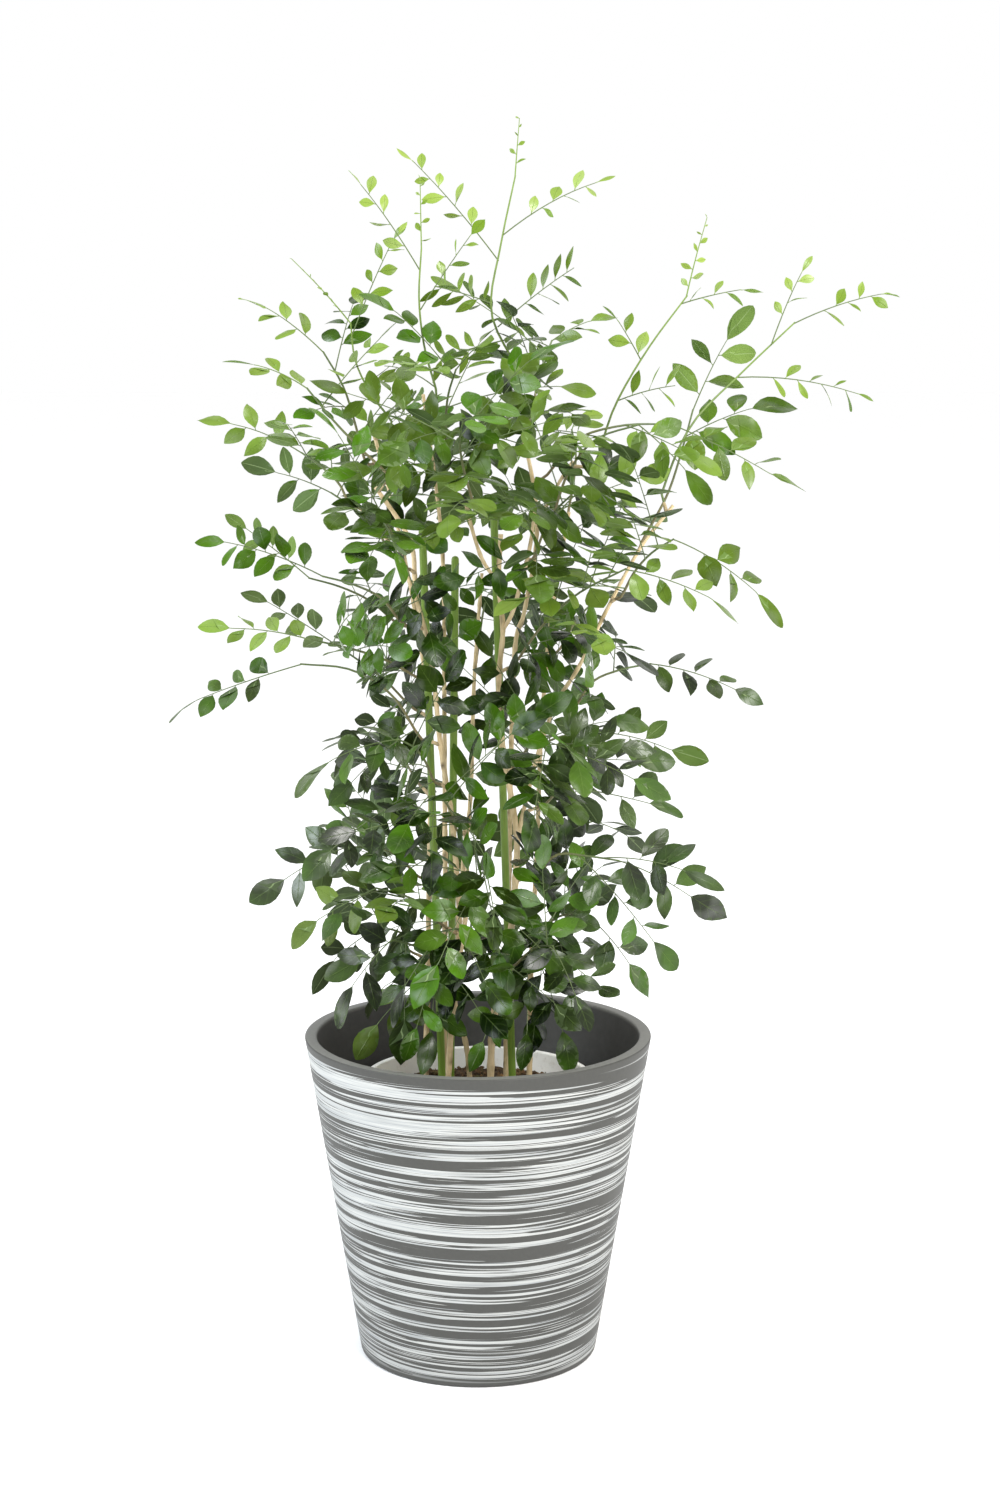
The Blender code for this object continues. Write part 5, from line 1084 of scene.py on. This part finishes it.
def blades(leaflets, draw, age):
    """Corners of the blades of many leaflets, one row each. Along its axis a blade runs from its
    own stalk to its tip. Across, a corner lies at half width times outline times across. It rises
    by a fold along the midrib and by an arch, the square of across, sinks by the square of its
    place, and waves near its edge by a sine. The skins stand off by the thickness times the roots
    of the two bulges."""
    many = len(leaflets)
    root, axis, across, upper = (np.array([leaf[k] for leaf in leaflets]) for k in range(4))
    length, half = (np.array([leaf[k] for leaf in leaflets])[:, None] for k in (4, 5))
    place, over, side = (GRID[:, k][None] for k in range(3))
    fold, arch, sink, wave, bow, twist, share, phase, roll = (
        draw.uniform(*ends, (many, 1))
        for ends in (FOLD_RANGE, ARCH_ACROSS_RANGE, SINK_RANGE, WAVE_RANGE, BOW_RANGE, TWIST_RANGE,
                     BLADE_HALF_RANGE, (0, 2 * math.pi), FINE_ROLL_RANGE))
    young = np.array(age)[:, None] < YOUNG_AGE
    foot = np.where(young, YOUNG_FOOT, OUTLINE_FOOT)
    tip = np.where(young, draw.uniform(*YOUNG_TIP_RANGE, (many, 1)),
                   draw.uniform(*OUTLINE_TIP_RANGE, (many, 1)))
    half = half * share
    across, upper = (across * np.cos(roll) + upper * np.sin(roll),
                     upper * np.cos(roll) - across * np.sin(roll))
    width = half * outline(place, foot, tip) * over
    lift = fold * np.abs(width) * (FOLD_STEEP - FOLD_LESS * np.abs(over)) - sink * length * place ** 2
    lift = lift + arch * np.abs(width * over)
    lift = lift + wave * half * over ** 2 * np.sin(WAVE_RATE * place + phase
                                                   + WAVE_APART * np.sign(over))
    skin = BLADE_THICKNESS / 2 * np.sqrt(np.clip(1 - over ** 2, 0, 1))
    lift = lift + side * skin * np.sqrt(np.clip(np.sin(math.pi * place), THIN_END, 1))
    turn = twist * (place - TWIST_REST)
    lift, width = lift * np.cos(turn) + width * np.sin(turn), width * np.cos(turn)
    along = length * (LEAFLET_STALK + (1 - LEAFLET_STALK) * place)
    width = width + bow * length * place ** 2
    return (root[:, None] + axis[:, None] * along[..., None] + across[:, None] * width[..., None]
            + upper[:, None] * lift[..., None])


def add_blades(skin, leaflets, draw, tint, age):
    """The leaflets' blades and their own short stalks. Look 0 is the upper skin, 1 the underside
    and 2 the green of stalks."""
    many, each = len(leaflets), len(GRID)
    starts = np.arange(many)[:, None, None] * each
    groups, looks = [], []
    for look, side in ((0, 1), (1, -1)):
        for corners in (3, 4):
            alike = np.array([face for face in SKINS[side] if len(face) == corners])
            groups.append((alike + starts).reshape(-1, corners))
            looks.append(look)
    spots = np.tile(np.stack([0.5 + 0.5 * GRID[:, 1], GRID[:, 0]], axis=1), (many, 1))
    skin.add(blades(leaflets, draw, age), groups, looks, spots, tint=np.repeat(tint, each),
             age=np.repeat(age, each))
    for (root, axis, _, _, length, *_), old in zip(leaflets, age):
        reach = length * (LEAFLET_STALK + STALK_IN_BLADE)
        ends = np.stack([root - axis * LEAFLET_SET_IN, root + axis * reach])
        skin.add(*rod(ends, [LEAFLET_STALK_RADIUS] * 2, LEAFLET_STALK_SIDES), look=2,
                 age=LEAFLET_STALK_AGING * old)


def youth(place):
    """How old the growth at a place is, from 0, young, to 1: older lower down, and younger inside
    the patches, of which the four wide ones on the sides are partly painted light."""
    old = 1 - np.clip((place[2] - OLD_HEIGHT) / (YOUNG_HEIGHT - OLD_HEIGHT), 0, 1)
    for x, z, radius, age in YOUNG_AND_LIT_PATCHES:
        near = math.hypot(place[0] - x, place[2] - z) / radius
        old = min(old, age + (1 - age) * min(1.0, max(0.0, near - PATCH_FULL) / PATCH_FADE))
    return float(old)


def resized(leaflet, length, half, roll=0.0, stray=0.0):
    """A leaflet with its length and half width multiplied, its axis moved by a small vector, and
    its face turned about it."""
    root, axis, across, upper, long, wide, place, side = leaflet
    axis = unit(axis + stray)
    upper = square_to(upper, axis)
    across = np.cross(upper, axis)
    upper = upper * math.cos(roll) + across * math.sin(roll)
    return root, axis, np.cross(upper, axis), upper, long * length, wide * half, place, side


def fronted(leaf, place, side, lean, length, half, turn, stray, ahead=0.03):
    """A leaflet that leaves its stalk at an angle, to one side of it as seen from the front, with
    its face turned about its axis from where young leaves face."""
    spot, after = leaf.spots([place, min(1.0, place + ahead)])
    along = unit(after - spot)
    aside = unit(np.cross(YOUNG_FACE, along)) * side
    lean = math.radians(lean)
    axis = unit(along * math.cos(lean) + aside * math.sin(lean) + stray)
    upper = square_to(np.array(YOUNG_FACE), axis)
    upper = upper * math.cos(turn) + np.cross(upper, axis) * math.sin(turn)
    return spot, axis, np.cross(upper, axis), upper, length, half, place, side


def young_leaflets(leaf, size, draw):
    """The leaflets of a young leaf: small, far apart, and by turns on its two sides. Those on the
    lower side show their edges."""
    first = size * LAST_PAIR
    kept = []
    for k in range(max(YOUNG_FEWEST, int((leaf.length * (1 - BARE_STALK) - first) / YOUNG_SPACING))):
        place = 1 - (first + k * YOUNG_SPACING) / leaf.length
        grown, side = draw.uniform(*YOUNG_GROWTH_RANGE), 1 if k % 2 else -1
        new = fronted(leaf, place, side, YOUNG_LEAN, YOUNG_LENGTH * grown, YOUNG_HALF * grown, 0.0,
                      draw.uniform(-YOUNG_STRAY, YOUNG_STRAY, 3))
        lower = 1 if new[1][2] < 0 else 0
        kept.append(resized(new, 1.0, 1.0, draw.normal(YOUNG_TURNS[lower], YOUNG_TURN_SPREAD)))
    return kept + [resized(leaf.leaflets[-1], *YOUNG_TIP_SHARES)]


def grown_leaflets(leaf, draw):
    """The leaflets of a young shoot's lowest leaves: long, slender, and seen from their edges."""
    return [fronted(leaf, place, side or 1, GROWN_LEAN if side else 0.0, GROWN_LENGTH, GROWN_HALF,
                    draw.normal(GROWN_TURN, GROWN_TURN_SPREAD),
                    draw.uniform(-GROWN_STRAY, GROWN_STRAY, 3))
            for *_, place, side in spread_leaflets(leaf)]


def leader(leaf, size, draw):
    """A young stem's own tip: its route, drawn out over the place of the last leaflet, and the
    sprouting leaves on it, by turns on its two sides and smaller towards the tip."""
    way = leaf.route[-1] - leaf.route[-1 - STALK_RINGS]
    ends = leaf.route[-1] + unit(way) * size * np.array(LEADER_DRAWN)[:, None]
    route = np.vstack([leaf.route[::STALK_RINGS], ends])
    walked = walk(route)
    spots = np.arange(walked[-1], walked[-1] * LEADER_BARE, -LEADER_SPACING)
    kept = []
    for k, (spot, place) in enumerate(zip(at_lengths(route, walked, spots), spots / walked[-1])):
        grown = np.interp(place, (0.0, 1.0), LEADER_ENDS) * draw.uniform(*LEADER_GROWTH_RANGE)
        small = resized(leaf.leaflets[-3 + k % 2], grown, grown * LEADER_WIDTH,
                        draw.uniform(-LEADER_ROLL, LEADER_ROLL),
                        draw.uniform(-LEADER_STRAY, LEADER_STRAY, 3))
        kept.append((spot, *small[1:]))
    return route, kept


def spread_leaflets(leaf, lying=0.0):
    """The leaf's leaflets as they really stand: those of the left and the right side are not
    opposite each other, but shifted along the stalk by turns. Lying is how far their faces are
    turned towards straight up."""
    shifted = []
    for root, axis, across, upper, length, half, place, side in leaf.leaflets:
        if side:
            place = max(LOWEST_PLACE, place + side * ALTERNATE_SHIFT * length / leaf.length)
        upper = upper * (1 - lying) + np.array((0, 0, 1)) * lying
        upper = square_to(upper, axis)
        shifted.append((leaf.spots([place])[0], axis, np.cross(upper, axis), upper, length, half,
                        place, side))
    return shifted


def root_share(shoot, leaf):
    """The part of the twig's length at which a leaf roots: that of the twig's nearest point."""
    shares = np.linspace(0, 1, TWIG_SHARES)
    spots = at_lengths(shoot.twig, shoot.walked, shares * shoot.walked[-1])
    return shares[np.argmin(np.linalg.norm(spots - leaf.route[0], axis=1))]


def make_shoot(shoot, draw, finishes):
    """A leafy shoot: a tapered twig, rounded at its bends, that starts inside its spur, and every
    leaf with its thin stalk and its leaflets."""
    skin = Skin()
    start = shoot.spur_end - shoot.away * TWIG_SET_IN
    route = sampled(np.vstack([start, shoot.twig[1:]]), FINE_TWIG_STEPS)
    is_young = shoot.size < YOUNG_SIZE
    radii = np.linspace(FINE_TWIG_RADIUS, FINE_TWIG_TIP, len(route)) * (YOUNG_TWIG if is_young else 1)
    wood = np.linspace(*(YOUNG_TWIG_AGES if is_young else TWIG_AGES), len(route))
    skin.add(*rod(route, radii, TWIG_SIDES), look=2, age=np.repeat(wood, TWIG_SIDES))
    for count, leaf in enumerate(shoot.leaves):
        stalk, thick, (x, _, z) = leaf.route[::STALK_RINGS], FINE_STALK_RADIUS, leaf.route[-1]
        old = SPROUT_AGE if is_young else youth(leaf.route[-1])
        chance, fresh = draw.uniform(), FRESH_HIGH if z > OLD_HEIGHT else FRESH_LOW
        if chance < fresh:
            old = min(old, FRESH_AGE)
        elif chance > 1 - OLD_AMONG and not is_young:
            old = max(old, OLD_AGE)
        stalk_age = YOUNG_STALK_AGE if is_young else STALK_AGE + STALK_AGING * old
        if not is_young:
            larger = draw.uniform(*OLD_SIZE_RANGE) if old > FRESH_AGE else 1.0
            low, flat = draw.uniform(*LYING_LOW), draw.uniform(*LYING_HIGH)
            lying = low + (flat - low) * np.interp(z, LYING_HEIGHTS, (0, 1))
            leaflets = [resized(leaflet, larger, larger) for leaflet in spread_leaflets(leaf, lying)]
        elif count == 0 and shoot.number != LEADERLESS:
            stalk, leaflets = leader(leaf, shoot.size, draw)
            stalk_age, thick = 0.0, FINE_TWIG_TIP * YOUNG_TWIG
        elif root_share(shoot, leaf) < GROWN_SHARE:
            old, leaflets = GROWN_AGE, grown_leaflets(leaf, draw)
        else:
            leaflets = young_leaflets(leaf, shoot.size, draw)
        thin = np.linspace(thick, FINE_STALK_TIP, len(stalk))
        skin.add(*rod(stalk, thin, STALK_SIDES), look=2, age=stalk_age)
        # Painted light and shade: the middle tint is darker low down, and lighter high up and outwards.
        middle = np.interp(z, TINT_HEIGHTS, LIT_AND_SHADED_TINTS)
        middle += OUTER_PAINTED_LIGHT * np.interp(abs(x), OUTER_LIGHT_REACHES, (0, 1))
        tint = middle + draw.normal(0, LEAF_TINT) + draw.normal(0, LEAFLET_TINT, len(leaflets))
        age = old + draw.normal(0, AGE_SPREAD, len(leaflets))
        add_blades(skin, leaflets, draw, np.clip(tint, 0, 1), np.clip(age, 0, 1))
    piece = skin.piece(f"jasmine_shoot_{shoot.number:02d}", finishes)
    dress(piece, "young_leaf" if is_young else "leaf", shoot.name)


def swollen(points, radii, draw):
    """A stem's rounded route with rings every few millimetres, its radii with a swelling at each
    node, a bell curve of the distance from it, and the lengths at its nodes and at its rings."""
    length = walk(points)[-1]
    steps = max(CANE_FEWEST, int(length / CANE_STEP))
    walked = np.linspace(0, length, steps + 1)
    size = np.interp(walked / length, np.linspace(0, 1, len(radii)), radii)
    nodes = np.cumsum(draw.uniform(*NODE_RANGE, int(length / NODE_RANGE[0]) + 1))
    bell = np.exp(-((walked[:, None] - nodes[None]) / NODE_LENGTH) ** 2).sum(axis=1)
    size = size * (1 + NODE_SWELL * bell + CANE_UNEVEN * draw.standard_normal(len(size)))
    return sampled(points, steps), size, nodes, walked


def make_cane(cane, shoots, draw, bark):
    """A woody cane with its forks and its spurs: knobbly at its nodes, each with a bud scar."""
    skin = Skin()
    sides = np.arange(CANE_SIDES)
    for points, radii in cane_stems(cane):
        route, size, nodes, walked = swollen(points, radii, draw)
        scar = np.zeros((len(route), CANE_SIDES))
        for node in nodes:
            side = draw.integers(0, CANE_SIDES)
            off = np.minimum((sides - side) % CANE_SIDES, (side - sides) % CANE_SIDES)
            scar += np.exp(-((walked[:, None] - node) / SCAR_LENGTH) ** 2
                           - (off[None] / SCAR_WIDTH) ** 2)
        skin.add(*rod(route, size, CANE_SIDES), scar=np.clip(scar, 0, 1).ravel())
    for shoot in shoots:
        if shoot.cane == cane:
            route = bent(shoot.seat, shoot.seat + shoot.away * SPUR_BEND, shoot.spur_end,
                         len(SPUR_SCARS) - 1)
            skin.add(*rod(route, np.linspace(*FINE_SPUR_RADII, len(SPUR_SCARS)), SPUR_SIDES),
                     scar=np.repeat(SPUR_SCARS, SPUR_SIDES))
    dress(skin.piece(f"pale_cane_{cane}", [bark], sharp=70), "bark", f"cane_{cane}")


def rounded(corner, before, after, radius, steps=5):
    """An outline's corner as a short curve between two points a radius away on its two sides."""
    corner, before, after = (np.array(p, float) for p in (corner, before, after))
    first = corner + (before - corner) / np.linalg.norm(before - corner) * radius
    last = corner + (after - corner) / np.linalg.norm(after - corner) * radius
    return bent(first, corner, last, steps - 1)


def swept(profile, sides, look_of=lambda band: 0):
    """A closed outline of (radius, height) points, from axis to axis, carried round the Z axis:
    x is radius times cosine, y is radius times sine. look_of gives each band's finish."""
    turn = 2 * math.pi * np.arange(sides) / sides
    inner = profile[1:-1]
    circles = np.stack([inner[:, :1] * np.cos(turn), inner[:, :1] * np.sin(turn),
                        np.repeat(inner[:, 1:], sides, axis=1)], axis=-1)
    ends = [[0, 0, profile[0][1]], [0, 0, profile[-1][1]]]
    rings = np.arange(len(inner) * sides).reshape(len(inner), sides)
    low, high = (np.full(sides, rings.size + end) for end in (0, 1))
    caps = [np.stack([low, np.roll(rings[0], -1), rings[0]], axis=-1),
            np.stack([high, rings[-1], np.roll(rings[-1], -1)], axis=-1)]
    last = len(inner) - 2
    skin = Skin()
    skin.add(np.concatenate([circles.reshape(-1, 3), ends]), [*bands(rings), *caps],
             [look_of(band) for band in (*range(last + 1), 0, last)])
    return skin


def make_planter(paint, bare):
    """The tapered planter: painted outside, bare on its rim, inside and under its foot."""
    slope = (PLANTER_RIM_RADIUS - PLANTER_FOOT_RADIUS) / PLANTER_HEIGHT
    foot, rim = (PLANTER_FOOT_RADIUS, 0.0), (PLANTER_RIM_RADIUS, PLANTER_HEIGHT)
    lip = (PLANTER_RIM_RADIUS - PLANTER_WALL, PLANTER_HEIGHT)
    well = (PLANTER_FOOT_RADIUS + slope * PLANTER_FLOOR - PLANTER_WALL, PLANTER_FLOOR)
    heights = np.linspace(PLANTER_FOOT_ROUND, PLANTER_HEIGHT - PLANTER_ROUND, PLANTER_RINGS)[1:-1]
    wall = np.stack([PLANTER_FOOT_RADIUS + slope * heights, heights], axis=1)
    under = np.array(((0.0, 0.0), (PLANTER_FOOT_RADIUS / 2, 0.0)))
    foot_round = rounded(foot, (0, 0), rim, PLANTER_FOOT_ROUND)
    rim_round = rounded(rim, foot, lip, PLANTER_ROUND)
    profile = np.concatenate([under, foot_round, wall, rim_round,
                              rounded(lip, rim, well, PLANTER_ROUND),
                              rounded(well, lip, (0, PLANTER_FLOOR), PLANTER_WELL_ROUND),
                              ((0.0, PLANTER_FLOOR),)])
    # The paint runs from the foot's edge to the middle of the rim's round.
    first = len(under) - 1
    last = first + len(foot_round) + len(wall) + len(rim_round) // 2
    skin = swept(profile, PLANTER_TURNS, lambda band: 0 if first <= band <= last else 1)
    dress(skin.piece("brushed_planter", [paint, bare], sharp=60), "planter", "outer_pot")


def make_nursery_pot(plastic):
    """The white nursery pot: a thin tapered wall under a rolled lip."""
    foot = PLANTER_FLOOR + CLEARANCE
    lip, floor = NURSERY_TOP - NURSERY_LIP_DEPTH, foot + NURSERY_WALL
    inner = NURSERY_RIM_RADIUS - NURSERY_LIP_WIDTH
    outer_top, inner_top = (NURSERY_RIM_RADIUS, NURSERY_TOP), (inner, NURSERY_TOP)
    outer_round, inner_round = NURSERY_LIP_ROUNDS
    step, rise = NURSERY_LIP_EDGE
    profile = np.concatenate([
        ((0.0, foot), (NURSERY_FOOT_RADIUS - NURSERY_BEVEL, foot),
         (NURSERY_FOOT_RADIUS, foot + NURSERY_BEVEL)),
        ((inner + NURSERY_WALL, lip), (NURSERY_RIM_RADIUS - step, lip),
         (NURSERY_RIM_RADIUS, lip + rise)),
        rounded(outer_top, (NURSERY_RIM_RADIUS, lip), inner_top, outer_round),
        rounded(inner_top, outer_top, (NURSERY_FOOT_RADIUS, floor), inner_round),
        ((NURSERY_FOOT_RADIUS - NURSERY_WALL, floor), (0.0, floor))])
    skin = swept(profile, NURSERY_TURNS)
    dress(skin.piece("white_nursery_pot", [plastic], sharp=40), "nursery_plastic", "nursery_pot")


def waves(x, y, draw, scale, octaves=4, each=4, rates=(0.7, 1.3)):
    """An uneven surface: sines of the place in random directions, twice as fine and half as high
    at each octave."""
    total = np.zeros(np.broadcast(x, y).shape)
    for octave in range(octaves):
        for _ in range(each):
            angle, phase = draw.uniform(0, 2 * math.pi, 2)
            rate = 2 * math.pi / scale * 2 ** octave * draw.uniform(*rates)
            total += np.sin(rate * (x * math.cos(angle) + y * math.sin(angle)) + phase) / 2 ** octave
    return total / each


def make_soil(mix, draw):
    """The potting mix: an uneven top over a plain root ball, strewn with crumbs and bark chips,
    each a squashed eight-sided lump that is turned and sized at random."""
    foot = PLANTER_FLOOR + CLEARANCE + NURSERY_WALL + CLEARANCE
    radius = NURSERY_RIM_RADIUS - NURSERY_LIP_WIDTH - SOIL_GAP
    low = NURSERY_FOOT_RADIUS - NURSERY_WALL - 3 * CLEARANCE
    shares = np.linspace(1.0, 0.0, SOIL_RINGS)[:-1]
    top = np.stack([radius * shares, np.full(len(shares), SOIL_TOP)], axis=1)
    skin = swept(np.concatenate([((0.0, foot), (low, foot)), top, ((0.0, SOIL_TOP),)]), SOIL_TURNS)
    x, y, z = skin.points[0].T
    bump = SOIL_WAVE_HEIGHT * waves(x, y, draw, SOIL_WAVES) - SOIL_DIP
    z += np.where(z > SOIL_TOP - SOIL_DIP, np.clip(bump, SOIL_SINK, SOIL_SWELL), 0)
    corner = np.array([(0, 0, 1), (1, 0, 0), (0, 1, 0), (-1, 0, 0), (0, -1, 0), (0, 0, -1)], float)
    sides = np.array([(0, 1, 2), (0, 2, 3), (0, 3, 4), (0, 4, 1), (5, 2, 1), (5, 3, 2), (5, 4, 3),
                      (5, 1, 4)])
    reach = radius * CRUMB_COVER * np.sqrt(draw.uniform(0, 1, CRUMBS))
    turn = draw.uniform(0, 2 * math.pi, CRUMBS)
    size = draw.uniform(*CRUMB_SIZES, (CRUMBS, 1, 1)) * draw.uniform(*CRUMB_SQUASH, (CRUMBS, 1, 3))
    chip = corner[None] * size * (1 + CRUMB_UNEVEN * draw.standard_normal((CRUMBS, len(corner), 1)))
    spin, tip = (draw.uniform(*ends, CRUMBS)[:, None]
                 for ends in ((0, 2 * math.pi), (-CRUMB_TIP, CRUMB_TIP)))
    x, y, z = np.moveaxis(chip, -1, 0)
    x, z = x * np.cos(tip) + z * np.sin(tip), z * np.cos(tip) - x * np.sin(tip)
    x, y = x * np.cos(spin) - y * np.sin(spin), x * np.sin(spin) + y * np.cos(spin)
    crumbs = np.stack([x + (reach * np.cos(turn))[:, None], y + (reach * np.sin(turn))[:, None],
                       z + SOIL_TOP + CRUMB_RISE], axis=-1)
    faces = (sides[None] + len(corner) * np.arange(CRUMBS)[:, None, None]).reshape(-1, 3)
    tint = np.repeat(np.clip(draw.normal(*CRUMB_TINT, CRUMBS), 0, 1), len(corner))
    skin.add(crumbs, [faces], tint=tint)
    dress(skin.piece("potting_mix", [mix], sharp=30), "soil", "soil")


def make_stakes(coat):
    """Coated rods with a rounded head."""
    drops, parts = np.array(STAKE_HEAD).T
    for index in range(len(STAKES)):
        foot, head = stake_route(index)
        ends = head - unit(head - foot) * drops[:, None]
        route = np.concatenate([np.linspace(foot, ends[0], STAKE_RINGS)[:-1], ends])
        radii = np.full(len(route), STAKE_RADIUS)
        radii[-len(parts):] *= parts
        skin = Skin()
        skin.add(*rod(route, radii, STAKE_SIDES))
        dress(skin.piece(f"green_stake_{index + 1}", [coat], sharp=60), "stake",
              f"stake_{index + 1}")


# The camera: fitted to the photograph's planter, with its tilt in degrees below the horizon.
CAMERA_PLACE = (0.0222, -2.751, 1.062)
CAMERA_TILT = 9.14
CAMERA_LENS, CAMERA_FILM = 67.2, 36.0
# The floor's half width. Each soft box: name, place, power in watts and colour; both have one width
# and face the middle of the plant.
FLOOR_REACH, LAMP_WIDTH, LAMP_TARGET = 30.0, 2.3, (0.0, 0.0, 0.7)
LAMPS = (("key soft box", (1.7, -2.1, 2.7), 146, (1.0, 0.985, 0.95)),
         ("fill soft box", (-2.3, -0.9, 2.2), 80, (0.84, 0.92, 1.0)))


def make_camera():
    """A camera in portrait format, whose film is as wide as it is high."""
    lens = bpy.data.cameras.new("camera")
    lens.lens, lens.sensor_fit = CAMERA_LENS, "VERTICAL"
    lens.sensor_width = lens.sensor_height = CAMERA_FILM
    camera = placed("camera", lens)
    camera.location = CAMERA_PLACE
    camera.rotation_euler = (math.radians(90 - CAMERA_TILT), 0, 0)
    bpy.context.scene.camera = camera


def make_stage():
    """A plain white floor."""
    made, add = finish("studio floor, matt white")
    add("OutputMaterial", add("BsdfPrincipled", "#FFFFFF", Roughness=1.0))
    mesh = bpy.data.meshes.new("floor")
    corners = [(x * FLOOR_REACH, y * FLOOR_REACH, 0) for x, y in ((-1, -1), (1, -1), (1, 1), (-1, 1))]
    mesh.from_pydata(corners, [], [(0, 1, 2, 3)])
    mesh.materials.append(made)
    floor = placed("floor", mesh)


def make_light():
    """A white studio: an even white surround, a large soft box high at the front right, and a
    weaker one at the left, each square and facing the plant."""
    world = bpy.data.worlds.new("white studio")
    world.use_nodes = True
    world.node_tree.nodes["Background"].inputs["Color"].default_value = (1, 1, 1, 1)
    world.node_tree.nodes["Background"].inputs["Strength"].default_value = 1.0
    bpy.context.scene.world = world
    for name, place, power, colour in LAMPS:
        light = bpy.data.lights.new(name, "AREA")
        light.shape, light.size, light.energy, light.color = "SQUARE", LAMP_WIDTH, power, colour
        z = unit(np.array(place) - LAMP_TARGET)
        x = unit(np.cross((0, 0, 1), z))
        turned = np.stack([x, np.cross(z, x), z, place], axis=1)
        placed(name, light).matrix_world = Matrix([*turned.tolist(), (0, 0, 0, 1)])
    # The photograph is a plain studio picture, whose white stays white.
    bpy.context.scene.view_settings.view_transform = "Standard"


def hides_cane(leaf):
    """Whether a leaflet of the leaf stands before one of the two front canes."""
    for cane in FRONT_CANES:
        x, y, z = cane_stems(cane)[0][0].T
        for root, axis, _, _, length, half, _, _ in leaf.leaflets:
            spot = root + axis * length * 0.5
            if (SIGHT_HEIGHTS[0] < spot[2] < SIGHT_HEIGHTS[1] and spot[1] < np.interp(spot[2], z, y)
                    and abs(spot[0] - np.interp(spot[2], z, x)) < half + CANE_SIGHT):
                return True
    return False


def hangs_out(leaf):
    """Whether a low leaf reaches out past the planter's opening."""
    tip = leaf.route[-1]
    return tip[2] < LOW_HEIGHT and abs(tip[0]) > LOW_REACH


def fill_heart(shoots, room, draw):
    """The further leaves, placed by the same rule as the others, but clear of the front canes and
    of the planter's rim."""
    for shoot in shoots:
        for share, *tip in HANGING.get(shoot.number, ()):
            add_named_leaf(shoot, room, draw, share, tip)
    for turn in range(max(HEART.values())):
        for shoot in shoots:
            if turn >= HEART.get(shoot.number, 0):
                continue
            for _ in range(SIGHT_TRIES):
                if not add_side_leaf(shoot, room, draw, turn % max(shoot.further, 1)):
                    break
                if not hides_cane(shoot.leaves[-1]) and not hangs_out(shoot.leaves[-1]):
                    break
                # It is taken back, with the three spaces that it took.
                shoot.leaves.pop()
                del room.taken[-3:]


def main():
    shoots, room, draw = grow()
    fill_heart(shoots, room, draw)
    draw = np.random.default_rng(FINE_SEED)
    leaf = [leaf_upper(), leaf_under(), green_stem()]
    for shoot in shoots:
        make_shoot(shoot, draw, leaf)
    bark = pale_bark()
    for cane in range(1, len(CANES) + 1):
        make_cane(cane, shoots, draw, bark)
    make_planter(brushed_paint(), bare_stoneware())
    make_nursery_pot(white_plastic())
    make_soil(potting_mix(), draw)
    make_stakes(coated_stake())
    make_camera()
    make_stage()
    make_light()


main()
